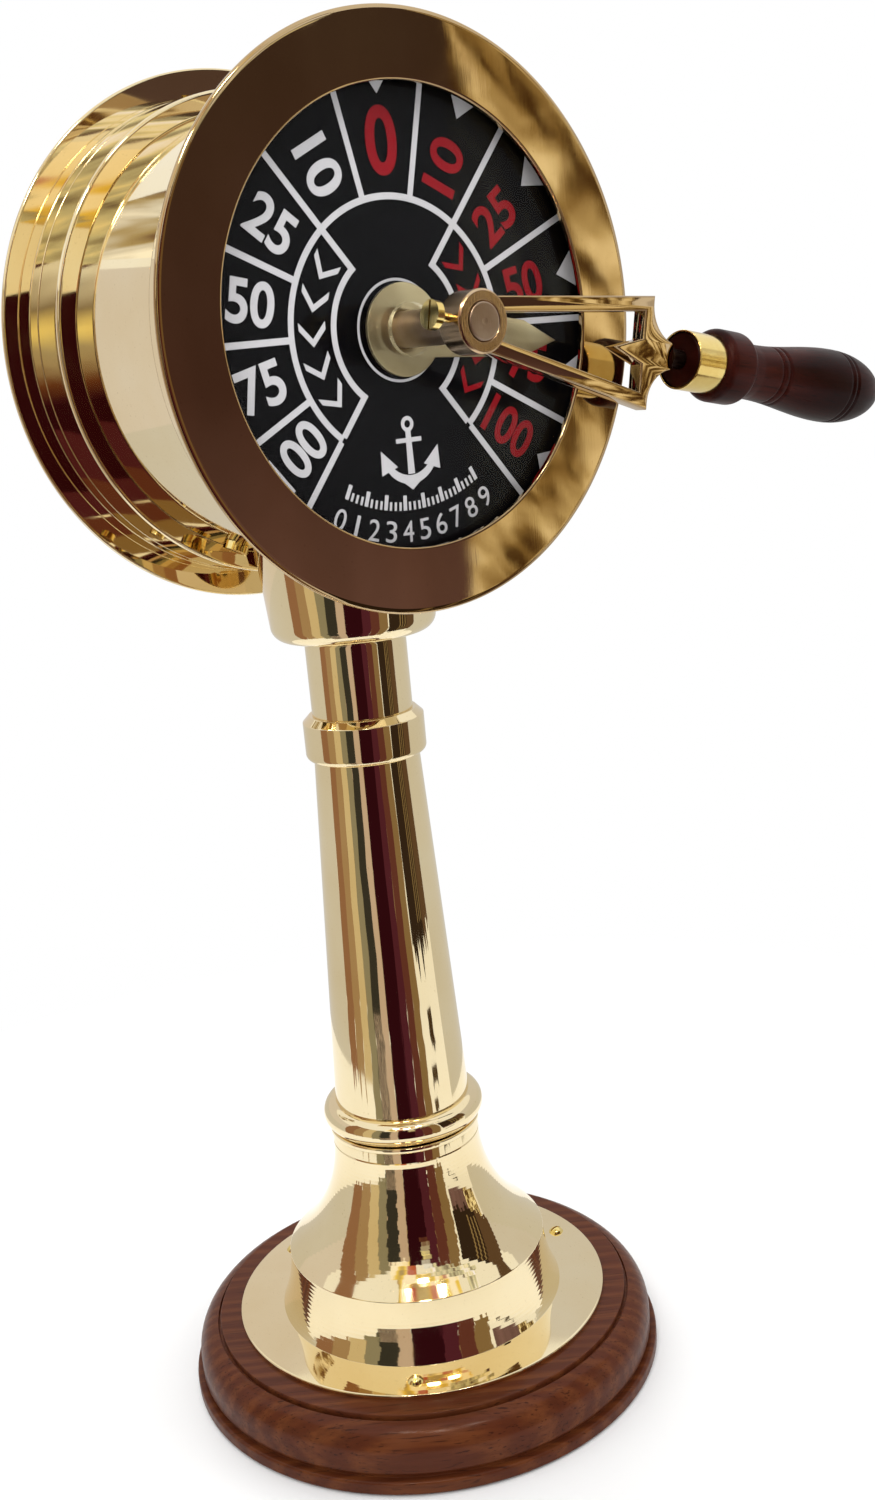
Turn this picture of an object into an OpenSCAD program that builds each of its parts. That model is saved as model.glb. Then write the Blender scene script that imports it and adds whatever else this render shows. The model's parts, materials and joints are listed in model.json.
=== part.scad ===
// Engine order telegraph: a glazed round drum on a turned column, with a forked lever.
// Lengths are in millimetres and angles in degrees. Z is up and the dial faces -Y.

/* [Wooden base] */
// Radius of the base at its lip
base_r = 112.1; // [106:0.1:130]
// Height of the base
base_h = 30; // [27:0.2:40]
// Height of the thin lip at the foot of the base
lip_h = 6.5; // [4:0.5:8]
// Width of the groove above the lip
groove_w = 2; // [1:0.25:3]
// Depth of the groove above the lip
groove_d = 4; // [3:0.2:6]
// How far the bullnose stands back from the lip
bull_step = 2.8; // [1:0.1:4]
// Radius of the bullnose edge
bull_r = 13; // [8:0.5:14]
// Drop from the top of the base to the bullnose
bull_drop = 1; // [0.5:0.1:2]
// Radius of the small ring groove on the top
ring_groove_r = 0.9; // [0.5:0.1:1.2]
// Thickness of the felt under the base
felt_t = 1.5; // [1:0.1:3]
// Depth of the felt's recess in the base
felt_sink = 1; // [0.4:0.1:2]
// Width of bare wood round the felt
felt_rim = 6; // [3:0.5:15]

/* [Foot] */
// Radius of the flange
flange_r = 88.1; // [80:0.1:92]
// Thickness of the flange
flange_t = 2; // [1.5:0.1:4]
// Radius where the wall meets the flange
crease_r = 67.2; // [64:0.2:72]
// Radius of the sharp edge
edge_r = 61.1; // [56:0.1:63]
// Height of the wall from the flange to the sharp edge
wall_rise = 28.2; // [22:0.1:36]
// Depth of the hollow in the wall
wall_hollow = 1.5; // [0.5:0.1:2.5]
// Rise over run of the flare above the edge
flare_slope = 0.9; // [0.75:0.05:1.6]
// Outer radius at the throat
throat_r = 34.5; // [32:0.1:38]
// Radius of the arc between flare and throat
throat_arc = 66; // [30:1:66]
// Straight length above the throat arc
throat_l = 6; // [0.6:0.1:8]
// Wall of the hollow foot
foot_wall = 4; // [3:0.5:6]
// Angle of the first flange screw
flange_screw_a = -130; // [-180:1:180]
// Number of flange screws
flange_screw_n = 3; // [3:1:8]
// Shank radius of the flange screws
flange_screw_r = 2; // [1.5:0.1:3]
// Length of the flange screws under the head
flange_screw_l = 20; // [12:1:24]

/* [Column] */
// Largest radius of the ring moulding
ring_r = 37.6; // [36:0.2:42]
// Radius of the moulding's round
ring_bead = 6.2; // [5:0.1:11.5]
// Flat above and below the round
ring_flat = 0.1; // [0.1:0.1:1]
// Radius of the fillet under the round
ring_foot_r = 35.2; // [34:0.2:36]
// Height of that fillet
ring_foot_h = 2.4; // [1:0.1:4]
// Column radius at its foot
col_low_r = 31.5; // [30:0.1:33]
// Column radius at its top
col_top_r = 23.7; // [22.6:0.1:25]
// Column height
col_h = 164.6; // [100:0.2:240]
// Column wall
col_wall = 3.5; // [2.5:0.5:5]
// Radius of the collar band
band_r = 27.1; // [26:0.1:30]
// Height of the collar band
band_h = 20.2; // [16:0.2:40]
// Chamfer on the band's top edge
band_chamfer = 3; // [1:0.25:4]
// Round on the band's lower edge
band_round = 3; // [1:0.25:4]
// Neck radius
neck_r = 22.5; // [21.5:0.1:23]
// Neck height
neck_h = 34.6; // [20:0.1:50]
// Neck wall
neck_wall = 3.5; // [2.5:0.5:5]
// Cove radius under the saddle
neck_cove = 2; // [1:0.25:4]

/* [Saddle] */
// Saddle radius at its foot
saddle_r = 36.6; // [32:0.2:38]
// Saddle radius at the drum
saddle_top_r = 39.8; // [38.4:0.2:42]
// Height from the saddle's foot to the drum
saddle_h = 35.2; // [22:0.1:60]
// Round on the saddle's lower edge
saddle_round = 7; // [2:0.5:8]
// Saddle wall and floor
saddle_wall = 4; // [3:0.5:6]
// How far the saddle's sides stop short of the drum
saddle_relief = 0.6; // [0.4:0.1:1]

/* [Tie rod] */
// Radius of the tie rod
rod_r = 6; // [4:0.5:8]
// Room round the tie rod
rod_fit = 0.3; // [0.1:0.05:0.6]
// Nut size across its corners
nut_d = 22; // [18:0.5:24]
// Nut height
nut_h = 8; // [5:0.5:10]
// Washer radius
washer_r = 13; // [12:0.5:15]
// Washer thickness
washer_t = 2; // [1:0.25:3]
// Thread left showing past each nut
rod_past = 2; // [1:0.5:2.5]
// Room between the rod's lower end and the felt
rod_room = 0.5; // [0.3:0.1:2]
// Radius of the counterbore under the base
bore_r = 17; // [16:0.5:22]

/* [Drum] */
// Outer radius of the drum skin
drum_r = 94.5; // [92:0.5:97]
// Thickness of the drum skin
skin_t = 2; // [1.5:0.1:3]
// Half the distance between the two bearing plates
shelf_y = 47.1; // [44:0.1:52]
// Clamp plate thickness
clamp_t = 6; // [4:0.5:8]
// Metal of the clamp plate outside its screws
clamp_rim = 10; // [5:0.5:16]
// Room between the saddle and the heads of the clamp screws
clamp_off = 1.5; // [1:0.25:6]
// Room along the drum between the heads of the clamp screws
clamp_gap = 29.2; // [1:0.2:32]
// Shank radius of the clamp screws
clamp_screw_r = 3; // [1.5:0.1:3]

/* [Case rings and bezels] */
// How far the case rings stand out of the drum skin
case_step = 8.5; // [7:0.1:14]
// Wall of the case rings outside the plates
case_wall = 2; // [1.8:0.1:3]
// Length of the case rings over the drum skin
case_grip = 9.8; // [8:0.2:14]
// Distance from the plates' seat to the bezel joint
case_lip = 8.2; // [6:0.2:9]
// Length of the spigot inside the bezel
spigot_l = 4; // [2:0.25:4.5]
// Thickness of the spigot
spigot_t = 1; // [0.6:0.1:1.2]
// Width of the seam between ring and bezel
seam = 0.4; // [0.4:0.1:1.2]
// How far the bezels stand out of the case rings
bezel_reach = 12; // [4:0.2:20]
// Bezel flange thickness
bezel_t = 2.5; // [1.5:0.1:4]
// How far the bezels reach in over the glass
bezel_lap = 12.7; // [8:0.1:25]
// Depth of the flat under the heads of the case screws
case_sink = 0.8; // [0.4:0.1:1.5]
// Angle of the case screws from straight down
case_screw_a = 41; // [38:1:60]
// Shank radius of the case screws
case_screw_r = 1.8; // [1:0.1:2.2]

/* [Dial and glass] */
// Bearing plate thickness
plate_t = 3; // [2.4:0.1:5]
// Dial thickness
dial_t = 1.5; // [1:0.1:2.5]
// Room between the dial and the glass
dial_room = 7.2; // [6.2:0.1:12]
// Glass thickness
glass_t = 3; // [2:0.25:4]
// Radius of the hole in the glass
glass_hole_r = 10.4; // [9:0.1:14]
// How far the gasket stands back from the bezel's opening
gasket_back = 2; // [0.5:0.25:5]
// Gasket thickness
gasket_t = 1; // [0.5:0.1:1.5]
// Width of the spacer rings
spacer_w = 1.2; // [0.8:0.1:2]
// Rear cover thickness
cover_t = 3; // [1.5:0.25:4]
// Distance of the stay posts from the drum's centre
post_at = 62; // [50:1:78]
// Stay post radius
post_r = 4; // [3.2:0.2:6]
// Shank radius of the post screws
post_screw_r = 2; // [1:0.1:2.4]
// Length of the post screws inside the posts
post_screw_l = 12; // [6:0.5:20]

/* [Shaft and pointer] */
// Shaft radius
shaft_r = 7.2; // [5:0.1:7.6]
// How far the shaft lies under the drum's centre
shaft_drop = 3.2; // [0:0.1:6]
// How far the front bush stands out of the dial
bush_past = 0.8; // [0.4:0.1:1]
// How far the rear bush reaches inside its plate
bush_tail = 2; // [1:0.25:4]
// Wall of the bushes
bush_wall = 1.9; // [1.4:0.1:2.5]
// Bush flange radius
bush_flange_r = 13; // [11.5:0.5:16]
// Bush flange thickness
bush_flange_t = 1.5; // [1:0.1:2.5]
// Wall of the pointer's boss
boss_wall = 3.6; // [2:0.1:5]
// Length of the pointer's boss
boss_l = 1.7; // [1:0.1:2]
// Pointer disc radius
pointer_disc_r = 18.3; // [14:0.1:19]
// Pointer length from the shaft's axis
pointer_l = 80.4; // [50:0.2:88]
// Pointer half width at the disc
pointer_root = 10.9; // [6:0.1:13]
// Pointer half width where the point starts
pointer_half = 7.3; // [4:0.1:9]
// Length of the point
pointer_tip = 18; // [8:0.5:30]
// Pointer thickness
pointer_t = 1.5; // [1:0.1:2]
// Shaft collar radius
collar_r = 14; // [11.5:0.5:18]
// Shaft collar length
collar_l = 10; // [8:0.5:16]
// Grub screw radius
grub_r = 2; // [1:0.1:2.4]
// Reach of the collar's stop lug from the shaft's axis
lug_l = 29; // [27:0.5:34]
// Half width of the stop lug
lug_half = 4; // [2:0.25:5]
// Distance of the stop pins from the shaft's axis
stop_at = 24; // [22:0.5:25]
// Stop pin radius
stop_r = 3; // [2:0.1:4]
// Largest lever angle to either side of straight up
stop_a = 129; // [100:1:135]
// Thrust and friction washer thickness
shim_t = 1.4; // [0.8:0.1:2]
// End nut thickness
end_nut_t = 4; // [3:0.1:4.4]
// Shaft left showing past the end nut
shaft_past = 0.5; // [0.2:0.1:0.8]

/* [Lever] */
// Lever angle, clockwise from straight up
lever_a = 101.3; // [-129:0.1:129]
// Angle by which the pointer trails the lever
pointer_lag = 4.5; // [0:0.5:8]
// Distance from the bezel's face to the middle of the lever
lever_off = 33.5; // [28:0.5:45]
// Hub radius
hub_r = 12; // [11:0.1:16]
// Hub length
hub_l = 13; // [10:0.5:18]
// Chamfer on the hub's front edge
hub_chamfer = 0.8; // [0.4:0.1:1.5]
// Depth of the shaft's end inside the hub, below zero where it stands out
hub_sink = -0.5; // [-1.5:0.25:4]
// Yoke thickness
bar_t = 7; // [6:0.25:9]
// Width of the yoke's bars
bar_w = 6; // [4:0.25:7]
// Half width of the yoke at the hub
bar_root = 9.6; // [9:0.1:10.5]
// Half width of the yoke at the crossbar
yoke_half = 22.9; // [19:0.1:28]
// Distance from the shaft to the crossbar
yoke_l = 87; // [70:0.5:110]
// Width of the crossbar
cross_w = 5; // [4:0.25:9]
// Flat length at the crossbar's corners
brace_flat = 2.7; // [1.5:0.1:5]
// Length from the crossbar to the neck's end
neck_reach = 13; // [8:0.5:14]
// Half width of the neck
neck_half = 5.5; // [4.5:0.1:7]
// Length of the index arrow
index_l = 16; // [8:0.5:24]
// Half width of the index arrow
index_half = 5.2; // [3:0.1:7]
// Shank radius of the lever's set screw
set_screw_r = 1.9; // [1.2:0.1:2.4]
// Bare length of the set screw outside the hub
set_screw_out = 6; // [3:0.25:10]
// Head radius of the set screw
set_head_r = 5.5; // [3:0.1:7]
// Head height of the set screw
set_head_h = 3; // [2:0.1:5]

/* [Handle] */
// Gap between the neck and the grip
tang_gap = 7.3; // [3:0.1:14]
// Tang radius
tang_r = 4; // [3:0.1:5]
// Radius of the tang's spigot in the neck
tang_spigot_r = 2.4; // [1.5:0.1:2.6]
// Length of the tang's spigot
tang_spigot_l = 10; // [6:0.5:12]
// Length of the tang inside the grip
tang_l = 90; // [40:1:105]
// Ferrule radius
ferrule_r = 12.3; // [11:0.1:14]
// Ferrule wall
ferrule_t = 0.7; // [0.5:0.1:1.5]
// Ferrule length
ferrule_l = 16.5; // [8:0.5:26]
// Radius of the grip's collar
knob_r = 15.4; // [14:0.1:20]
// Length of the grip's collar
knob_l = 18; // [12:0.5:24]
// Round on the collar's edges
knob_round = 4; // [2:0.25:5]
// Smallest radius of the grip
waist_r = 11.7; // [10:0.1:12]
// Distance from the collar to the grip's waist
waist_l = 7; // [4:0.5:14]
// Largest radius of the grip
belly_r = 16.2; // [13:0.1:20]
// Distance from the waist to the belly
belly_l = 54; // [36:1:80]
// Distance from the belly to the grip's end
nose_l = 33; // [20:1:50]
// Depth of the turned grooves
turn_d = 0.6; // [0.3:0.1:1]

/* [Fits] */
// Room between pieces that are fixed to each other
fit = 0.1; // [0.05:0.01:0.2]
// Radial running room of the shaft in its bushes
run_fit = 0.04; // [0.02:0.01:0.08]
// Room between pieces that turn past each other
turn_gap = 0.4; // [0.3:0.05:0.8]

/* [Hidden] */
$fn = 64;
// Overlap of cutting shapes past the faces they cut
eps = 1;

// Heights of the stack on the tie rod
flange_z = base_h + flange_t;
edge_z = flange_z + wall_rise;
flare_k = sqrt(1 + flare_slope * flare_slope);
flare_cos = flare_slope / flare_k;
flare_sin = 1 / flare_k;
throat_z = edge_z + flare_slope * (edge_r - throat_r)
           + throat_arc * (flare_sin - flare_slope * (1 - flare_cos));
foot_top = throat_z + throat_l;
ring_h = ring_foot_h + 2 * (ring_bead + ring_flat);
ring_top = foot_top + ring_h;
col_top = ring_top + col_h;
band_top = col_top + band_h;
neck_top = band_top + neck_h;
drum_z = neck_top + saddle_h + drum_r;
shaft_z = drum_z - shaft_drop;

// Screw heads in proportion to their shanks
head_k = 1.8;
head_h_k = 1.2;
slot_k = 0.5;

// Flange screws stand midway between the crease and the flange's rim
flange_screw_at = (crease_r + flange_r) / 2;

// Drum and tie rod
drum_in = drum_r - skin_t;
clamp_head_r = clamp_screw_r * head_k;
clamp_y = clamp_gap / 2 + clamp_head_r;
clamp_x = sqrt(pow(saddle_top_r + clamp_off + clamp_head_r, 2) - clamp_y * clamp_y);
clamp_a = asin(clamp_x / drum_r);
clamp_half = clamp_x + clamp_screw_r + clamp_rim;
clamp_w = 2 * (clamp_y + clamp_screw_r + clamp_rim);
clamp_out = drum_in - fit;
clamp_in = clamp_out - clamp_t;
seat_top = drum_z - clamp_in;
rod_low = felt_t + rod_room;
seat_low = rod_low + rod_past + nut_h + washer_t;
rod_high = seat_top + washer_t + nut_h + rod_past;
saddle_rise = drum_r - sqrt(drum_r * drum_r - saddle_top_r * saddle_top_r) - saddle_relief;

// Case rings, bezels and what they hold, as distances from the drum's middle
case_r = drum_r + case_step;
case_back = shelf_y - case_grip;
case_joint = shelf_y + case_lip;
seat_r = case_r - case_wall;
bezel_r = case_r + bezel_reach;
aperture_r = seat_r - bezel_lap;
disc_r = seat_r - fit;
plate_y = shelf_y + plate_t;
dial_y = plate_y + dial_t;
glass_y = dial_y + dial_room;
flange_y = glass_y + glass_t + gasket_t;
face_y = flange_y + bezel_t;
cover_y = flange_y - cover_t;
case_screw_y = shelf_y - case_grip / 2;
case_angles = [-case_screw_a, case_screw_a, 180];

// Shaft train
bush_r = shaft_r + run_fit + bush_wall;
bush_in = shaft_r + run_fit;
bore_on_shaft = shaft_r + fit / 2;
bush_front_y = dial_y + bush_past;
collar_y = shelf_y - bush_flange_t - turn_gap - shim_t;
thrust_y = plate_y + bush_flange_t + turn_gap;
shim_r = bush_flange_r;
shaft_end_y = thrust_y + shim_t + end_nut_t + shaft_past;
boss_y = bush_front_y + turn_gap;
boss_r = bore_on_shaft + boss_wall;
pointer_y = boss_y + boss_l;
// Angle from straight up at which a stop pin stands clear of the lug's side
pin_a = stop_a + asin((lug_half + stop_r + turn_gap) / stop_at);

// Lever
lever_y = face_y + lever_off;
hub_front = lever_y + hub_l / 2;
hub_back = lever_y - hub_l / 2;
shaft_front = hub_front - hub_sink;
yoke_out = yoke_l + cross_w;
neck_end = yoke_out + neck_reach;
bar_slope = (yoke_half - bar_root) / yoke_out;
bar_rise = bar_w * sqrt(1 + bar_slope * bar_slope);
window_l = hub_r * 0.9;
brace_v = yoke_half - brace_flat;
brace_dv = brace_v - neck_half;
brace_arc = (neck_reach * neck_reach + brace_dv * brace_dv) / (2 * neck_reach);

// Handle, as distances from the shaft's axis
grip_u = neck_end + tang_gap;
ferrule_u = grip_u + ferrule_l;
knob_u = ferrule_u + knob_l;
waist_u = knob_u + waist_l;
belly_u = waist_u + belly_l;
nose_u = belly_u + nose_l;
core_r = ferrule_r - ferrule_t - fit / 2;
groove_us = [waist_u + belly_l * 0.22, waist_u + belly_l * 0.29, belly_u + 1, belly_u + 4.5];

function bar_edge(u) = bar_root + bar_slope * u - bar_rise;
function belly_at(t) = waist_r + (belly_r - waist_r) * (1 - cos(180 * t)) / 2;
// Radius of the grip where a groove is turned
function grip_at(u) = u < belly_u ? belly_at((u - waist_u) / belly_l)
                                  : belly_r * sqrt(1 - pow((u - belly_u) / nose_l, 2));

// Turns a profile of radius against distance along +Y, about the drum's axis
module spin_drum() {
    translate([0, 0, drum_z])
        rotate([-90, 0, 0])
            rotate_extrude()
                children();
}

// Cylinder along +Y about the shaft's axis, from y0 to y1
module shaft_rod(r, y0, y1) {
    translate([0, y0, shaft_z])
        rotate([-90, 0, 0])
            cylinder(r = r, h = y1 - y0);
}

// Places a child whose +Z points out of the drum, at an angle from straight down
module radial(a, y) {
    translate([0, y, drum_z])
        rotate([0, 180 - a, 0])
            children();
}

// Places a child in the lever's own frame: X along the lever, Z across it
module on_lever(trail = 0) {
    translate([0, 0, shaft_z])
        rotate([0, lever_a - trail - 90, 0])
            children();
}

// Turns a profile of radius against distance about the handle's axis
module spin_handle() {
    on_lever()
        translate([0, -lever_y, 0])
            rotate([0, 90, 0])
                rotate_extrude()
                    children();
}

// Slotted screw with a domed head, its seat at z = 0 and its head towards +Z
module domed_screw(r, l) {
    head_r = r * head_k;
    head_h = r * head_h_k;
    dome = (head_r * head_r + head_h * head_h) / (2 * head_h);
    difference() {
        union() {
            rotate_extrude()
                intersection() {
                    translate([0, head_h - dome])
                        circle(r = dome);
                    square([head_r, head_h]);
                }
            translate([0, 0, -l])
                cylinder(r = r, h = l + head_h / 4);
        }
        translate([-head_r - eps, -r * slot_k / 2, head_h * 0.45])
            cube([2 * head_r + 2 * eps, r * slot_k, head_h]);
    }
}

// Slotted screw with a flat cheese head, its seat at z = 0 and its head towards +Z
module cheese_screw(r, l, wide = head_k, high = head_h_k) {
    head_r = r * wide;
    head_h = r * high;
    difference() {
        union() {
            cylinder(r = head_r, h = head_h);
            translate([0, 0, -l])
                cylinder(r = r, h = l + head_h / 4);
        }
        translate([-head_r - eps, -r * slot_k / 2, head_h * 0.5])
            cube([2 * head_r + 2 * eps, r * slot_k, head_h]);
    }
}

module flange_screw_places() {
    for (i = [0 : flange_screw_n - 1])
        rotate([0, 0, flange_screw_a + 360 * i / flange_screw_n])
            translate([flange_screw_at, 0, flange_z])
                children();
}

module base_felt() {
    color("darkgreen")
        cylinder(r = base_r - felt_rim - fit, h = felt_t);
}

module wooden_base() {
    low = felt_t - felt_sink;
    bull_c = base_r - bull_step - bull_r;
    bull_z = base_h - bull_drop - bull_r;
    wall_r = base_r - bull_step;
    color("sienna")
        difference() {
            rotate_extrude()
                difference() {
                    union() {
                        translate([0, low])
                            square([base_r, lip_h - low]);
                        translate([0, low])
                            square([base_r - groove_d, lip_h + groove_w - low + eps]);
                        translate([0, lip_h + groove_w])
                            square([wall_r, bull_z - lip_h - groove_w]);
                        translate([bull_c, bull_z])
                            circle(r = bull_r);
                        translate([0, low])
                            square([bull_c, base_h - low]);
                    }
                    square([base_r - felt_rim, felt_t]);
                    translate([bull_c, base_h])
                        circle(r = ring_groove_r);
                    translate([-base_r, 0])
                        square([base_r, base_h]);
                }
            translate([0, 0, -eps])
                cylinder(r = rod_r + rod_fit, h = base_h + 2 * eps);
            translate([0, 0, -eps])
                cylinder(r = bore_r, h = seat_low + eps);
            flange_screw_places()
                translate([0, 0, -flange_screw_l - eps])
                    cylinder(r = flange_screw_r + fit / 2, h = flange_screw_l + 2 * eps);
        }
}

module pedestal_foot() {
    wall_c = [(crease_r + edge_r) / 2, (flange_z + edge_z) / 2];
    chord = sqrt(pow(crease_r - edge_r, 2) + wall_rise * wall_rise);
    wall_arc = chord * chord / (8 * wall_hollow) + wall_hollow / 2;
    wall_n = [wall_rise / chord, (crease_r - edge_r) / chord];
    tangent = [throat_r + throat_arc * (1 - flare_cos), throat_z - throat_arc * flare_sin];
    inner = tangent - foot_wall * [flare_cos, flare_sin];
    edge_wall = 1.5 * foot_wall;
    color("gold")
        difference() {
            rotate_extrude()
                difference() {
                    polygon([[0, base_h], [flange_r, base_h], [flange_r, flange_z], [crease_r, flange_z],
                             [edge_r, edge_z], tangent, [throat_r, throat_z], [throat_r, foot_top],
                             [0, foot_top]]);
                    intersection() {
                        translate(wall_c + (wall_arc - wall_hollow) * wall_n)
                            circle(r = wall_arc, $fn = 180);
                        translate([edge_r - wall_hollow, flange_z])
                            square([crease_r, wall_rise]);
                    }
                    translate([throat_r + throat_arc, throat_z])
                        circle(r = throat_arc);
                    difference() {
                        polygon([[0, base_h - eps], [crease_r - edge_wall, base_h - eps],
                                 [edge_r - edge_wall, edge_z - edge_wall], inner,
                                 [throat_r - foot_wall, throat_z], [throat_r - foot_wall, foot_top + eps],
                                 [0, foot_top + eps]]);
                        translate([throat_r + throat_arc, throat_z])
                            circle(r = throat_arc + foot_wall);
                    }
                }
            flange_screw_places()
                translate([0, 0, -flange_t - eps])
                    cylinder(r = flange_screw_r + 2 * fit, h = flange_t + 2 * eps);
        }
}

module flange_screws() {
    color("khaki")
        flange_screw_places()
            domed_screw(flange_screw_r, flange_screw_l);
}

module ring_moulding() {
    bore = col_low_r - col_wall;
    color("goldenrod")
        translate([0, 0, foot_top])
            rotate_extrude()
                difference() {
                    union() {
                        square([col_low_r, ring_h]);
                        square([ring_foot_r, ring_foot_h]);
                        translate([ring_r - ring_bead, (ring_foot_h + ring_h) / 2])
                            circle(r = ring_bead);
                    }
                    translate([bore - ring_r - eps, -eps])
                        square([ring_r + eps, ring_h + 2 * eps]);
                }
}

module column_shaft() {
    color("gold")
        rotate_extrude()
            polygon([[col_low_r - col_wall, ring_top], [col_low_r, ring_top], [col_top_r, col_top],
                     [col_top_r - col_wall, col_top]]);
}

module collar_band() {
    bore = neck_r - neck_wall;
    color("goldenrod")
        translate([0, 0, col_top])
            rotate_extrude()
                difference() {
                    union() {
                        polygon([[0, 0], [band_r - band_round, 0], [band_r, band_round],
                                 [band_r, band_h - band_chamfer], [band_r - band_chamfer, band_h],
                                 [0, band_h]]);
                        translate([band_r - band_round, band_round])
                            circle(r = band_round);
                    }
                    translate([bore - band_r, -eps])
                        square([band_r, band_h + 2 * eps]);
                }
}

module neck_tube() {
    color("gold")
        translate([0, 0, band_top])
            rotate_extrude()
                difference() {
                    union() {
                        square([neck_r, neck_h]);
                        translate([0, neck_h - neck_cove])
                            square([neck_r + neck_cove, neck_cove]);
                    }
                    translate([neck_r + neck_cove, neck_h - neck_cove])
                        circle(r = neck_cove);
                    translate([-eps, -eps])
                        square([neck_r - neck_wall + eps, neck_h + 2 * eps]);
                }
}

module saddle() {
    high = saddle_h + saddle_rise;
    color("gold")
        difference() {
            translate([0, 0, neck_top])
                rotate_extrude()
                    difference() {
                        union() {
                            polygon([[0, 0], [saddle_r - saddle_round, 0], [saddle_r, saddle_round],
                                     [saddle_top_r, high], [0, high]]);
                            translate([saddle_r - saddle_round, saddle_round])
                                circle(r = saddle_round);
                        }
                        polygon([[-eps, saddle_wall], [saddle_r - saddle_wall, saddle_wall],
                                 [saddle_top_r - saddle_wall, high + eps], [-eps, high + eps]]);
                        translate([-saddle_r, -eps])
                            square([saddle_r, high + 2 * eps]);
                    }
            translate([0, 0, neck_top - eps])
                cylinder(r = rod_r + rod_fit, h = saddle_wall + 2 * eps);
            translate([0, -2 * saddle_top_r, drum_z])
                rotate([-90, 0, 0])
                    cylinder(r = drum_r + fit / 2, h = 4 * saddle_top_r, $fn = 128);
            drum_disc(case_r + fit, case_back - fit, case_back + saddle_top_r);
            drum_disc(case_r + fit, -case_back - saddle_top_r, -case_back + fit);
        }
}

module tie_rod() {
    color("silver")
        translate([0, 0, rod_low])
            cylinder(r = rod_r, h = rod_high - rod_low);
}

// Hexagon nut standing on z = 0 round a rod of radius r
module hex_nut(d, h, r) {
    difference() {
        cylinder(d = d, h = h, $fn = 6);
        translate([0, 0, -eps])
            cylinder(r = r + fit / 2, h = h + 2 * eps);
    }
}

module tie_nuts() {
    color("dimgray") {
        translate([0, 0, seat_low - washer_t - nut_h])
            hex_nut(nut_d, nut_h, rod_r);
        translate([0, 0, seat_top + washer_t])
            hex_nut(nut_d, nut_h, rod_r);
    }
}

module tie_washers() {
    color("gray")
        for (z = [seat_low - washer_t, seat_top])
            translate([0, 0, z])
                difference() {
                    cylinder(r = washer_r, h = washer_t);
                    translate([0, 0, -eps])
                        cylinder(r = rod_r + fit, h = washer_t + 2 * eps);
                }
}

module rod_hole() {
    translate([0, 0, drum_z - drum_r - eps])
        cylinder(r = rod_r + rod_fit, h = skin_t + clamp_t + 4 * eps);
}

module clamp_screw_places() {
    for (s = [-1, 1], t = [-1, 1])
        radial(s * clamp_a, t * clamp_y)
            children();
}

module clamp_screw_holes() {
    clamp_screw_places()
        translate([0, 0, clamp_in - eps])
            cylinder(r = clamp_screw_r + fit / 2, h = clamp_t + skin_t + 3 * eps);
}

module case_screw_holes(side) {
    for (a = case_angles)
        radial(a, side * case_screw_y)
            translate([0, 0, drum_in - eps])
                cylinder(r = case_screw_r + fit / 2, h = case_r - drum_in + 2 * eps);
}

module drum_shell() {
    color("gold")
        difference() {
            spin_drum()
                translate([drum_in, -shelf_y + fit])
                    square([skin_t, 2 * (shelf_y - fit)]);
            rod_hole();
            clamp_screw_holes();
            case_screw_holes(-1);
            case_screw_holes(1);
        }
}

module clamp_plate() {
    color("darkgoldenrod")
        difference() {
            intersection() {
                spin_drum()
                    translate([clamp_in, -clamp_w / 2])
                        square([clamp_t, clamp_w]);
                translate([-clamp_half, -clamp_w, drum_z - drum_r])
                    cube([2 * clamp_half, 2 * clamp_w, drum_r]);
            }
            rod_hole();
            clamp_screw_holes();
            translate([0, 0, seat_top])
                cylinder(r = washer_r + fit, h = clamp_t);
        }
}

module clamp_screws() {
    color("khaki")
        clamp_screw_places()
            translate([0, 0, drum_r])
                cheese_screw(clamp_screw_r, drum_r - clamp_in);
}

module case_profile() {
    polygon([[drum_r + fit, case_back], [case_r, case_back], [case_r, case_joint],
             [case_r - spigot_t, case_joint], [case_r - spigot_t, case_joint + spigot_l],
             [seat_r, case_joint + spigot_l], [seat_r, shelf_y], [drum_r + fit, shelf_y]]);
}

module case_ring(side) {
    difference() {
        spin_drum()
            if (side > 0)
                case_profile();
            else
                mirror([0, 1])
                    case_profile();
        case_screw_holes(side);
        for (a = case_angles)
            radial(a, side * case_screw_y)
                translate([0, 0, case_r - case_sink])
                    cylinder(r = case_screw_r * head_k + fit, h = case_sink + eps);
    }
}

module front_case_ring() {
    color("goldenrod")
        case_ring(-1);
}

module rear_case_ring() {
    color("goldenrod")
        case_ring(1);
}

module case_screw_set(side) {
    for (a = case_angles)
        radial(a, side * case_screw_y)
            translate([0, 0, case_r - case_sink])
                cheese_screw(case_screw_r, case_r - case_sink - drum_in);
}

module front_case_screws() {
    color("khaki")
        case_screw_set(-1);
}

module rear_case_screws() {
    color("khaki")
        case_screw_set(1);
}

module bezel_profile() {
    low = case_joint + seam;
    step = case_joint + spigot_l + seam;
    lap_r = case_r - spigot_t + fit / 2;
    polygon([[aperture_r, face_y], [bezel_r, face_y], [bezel_r, flange_y], [case_r, flange_y],
             [case_r, low], [lap_r, low], [lap_r, step], [seat_r, step], [seat_r, flange_y],
             [aperture_r, flange_y]]);
}

module front_bezel() {
    color("peru")
        spin_drum()
            mirror([0, 1])
                bezel_profile();
}

module rear_bezel() {
    color("gold")
        spin_drum()
            bezel_profile();
}

// Flat ring about the drum's axis, from y0 to y1
module drum_ring(r0, r1, y0, y1) {
    spin_drum()
        translate([r0, y0])
            square([r1 - r0, y1 - y0]);
}

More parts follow.
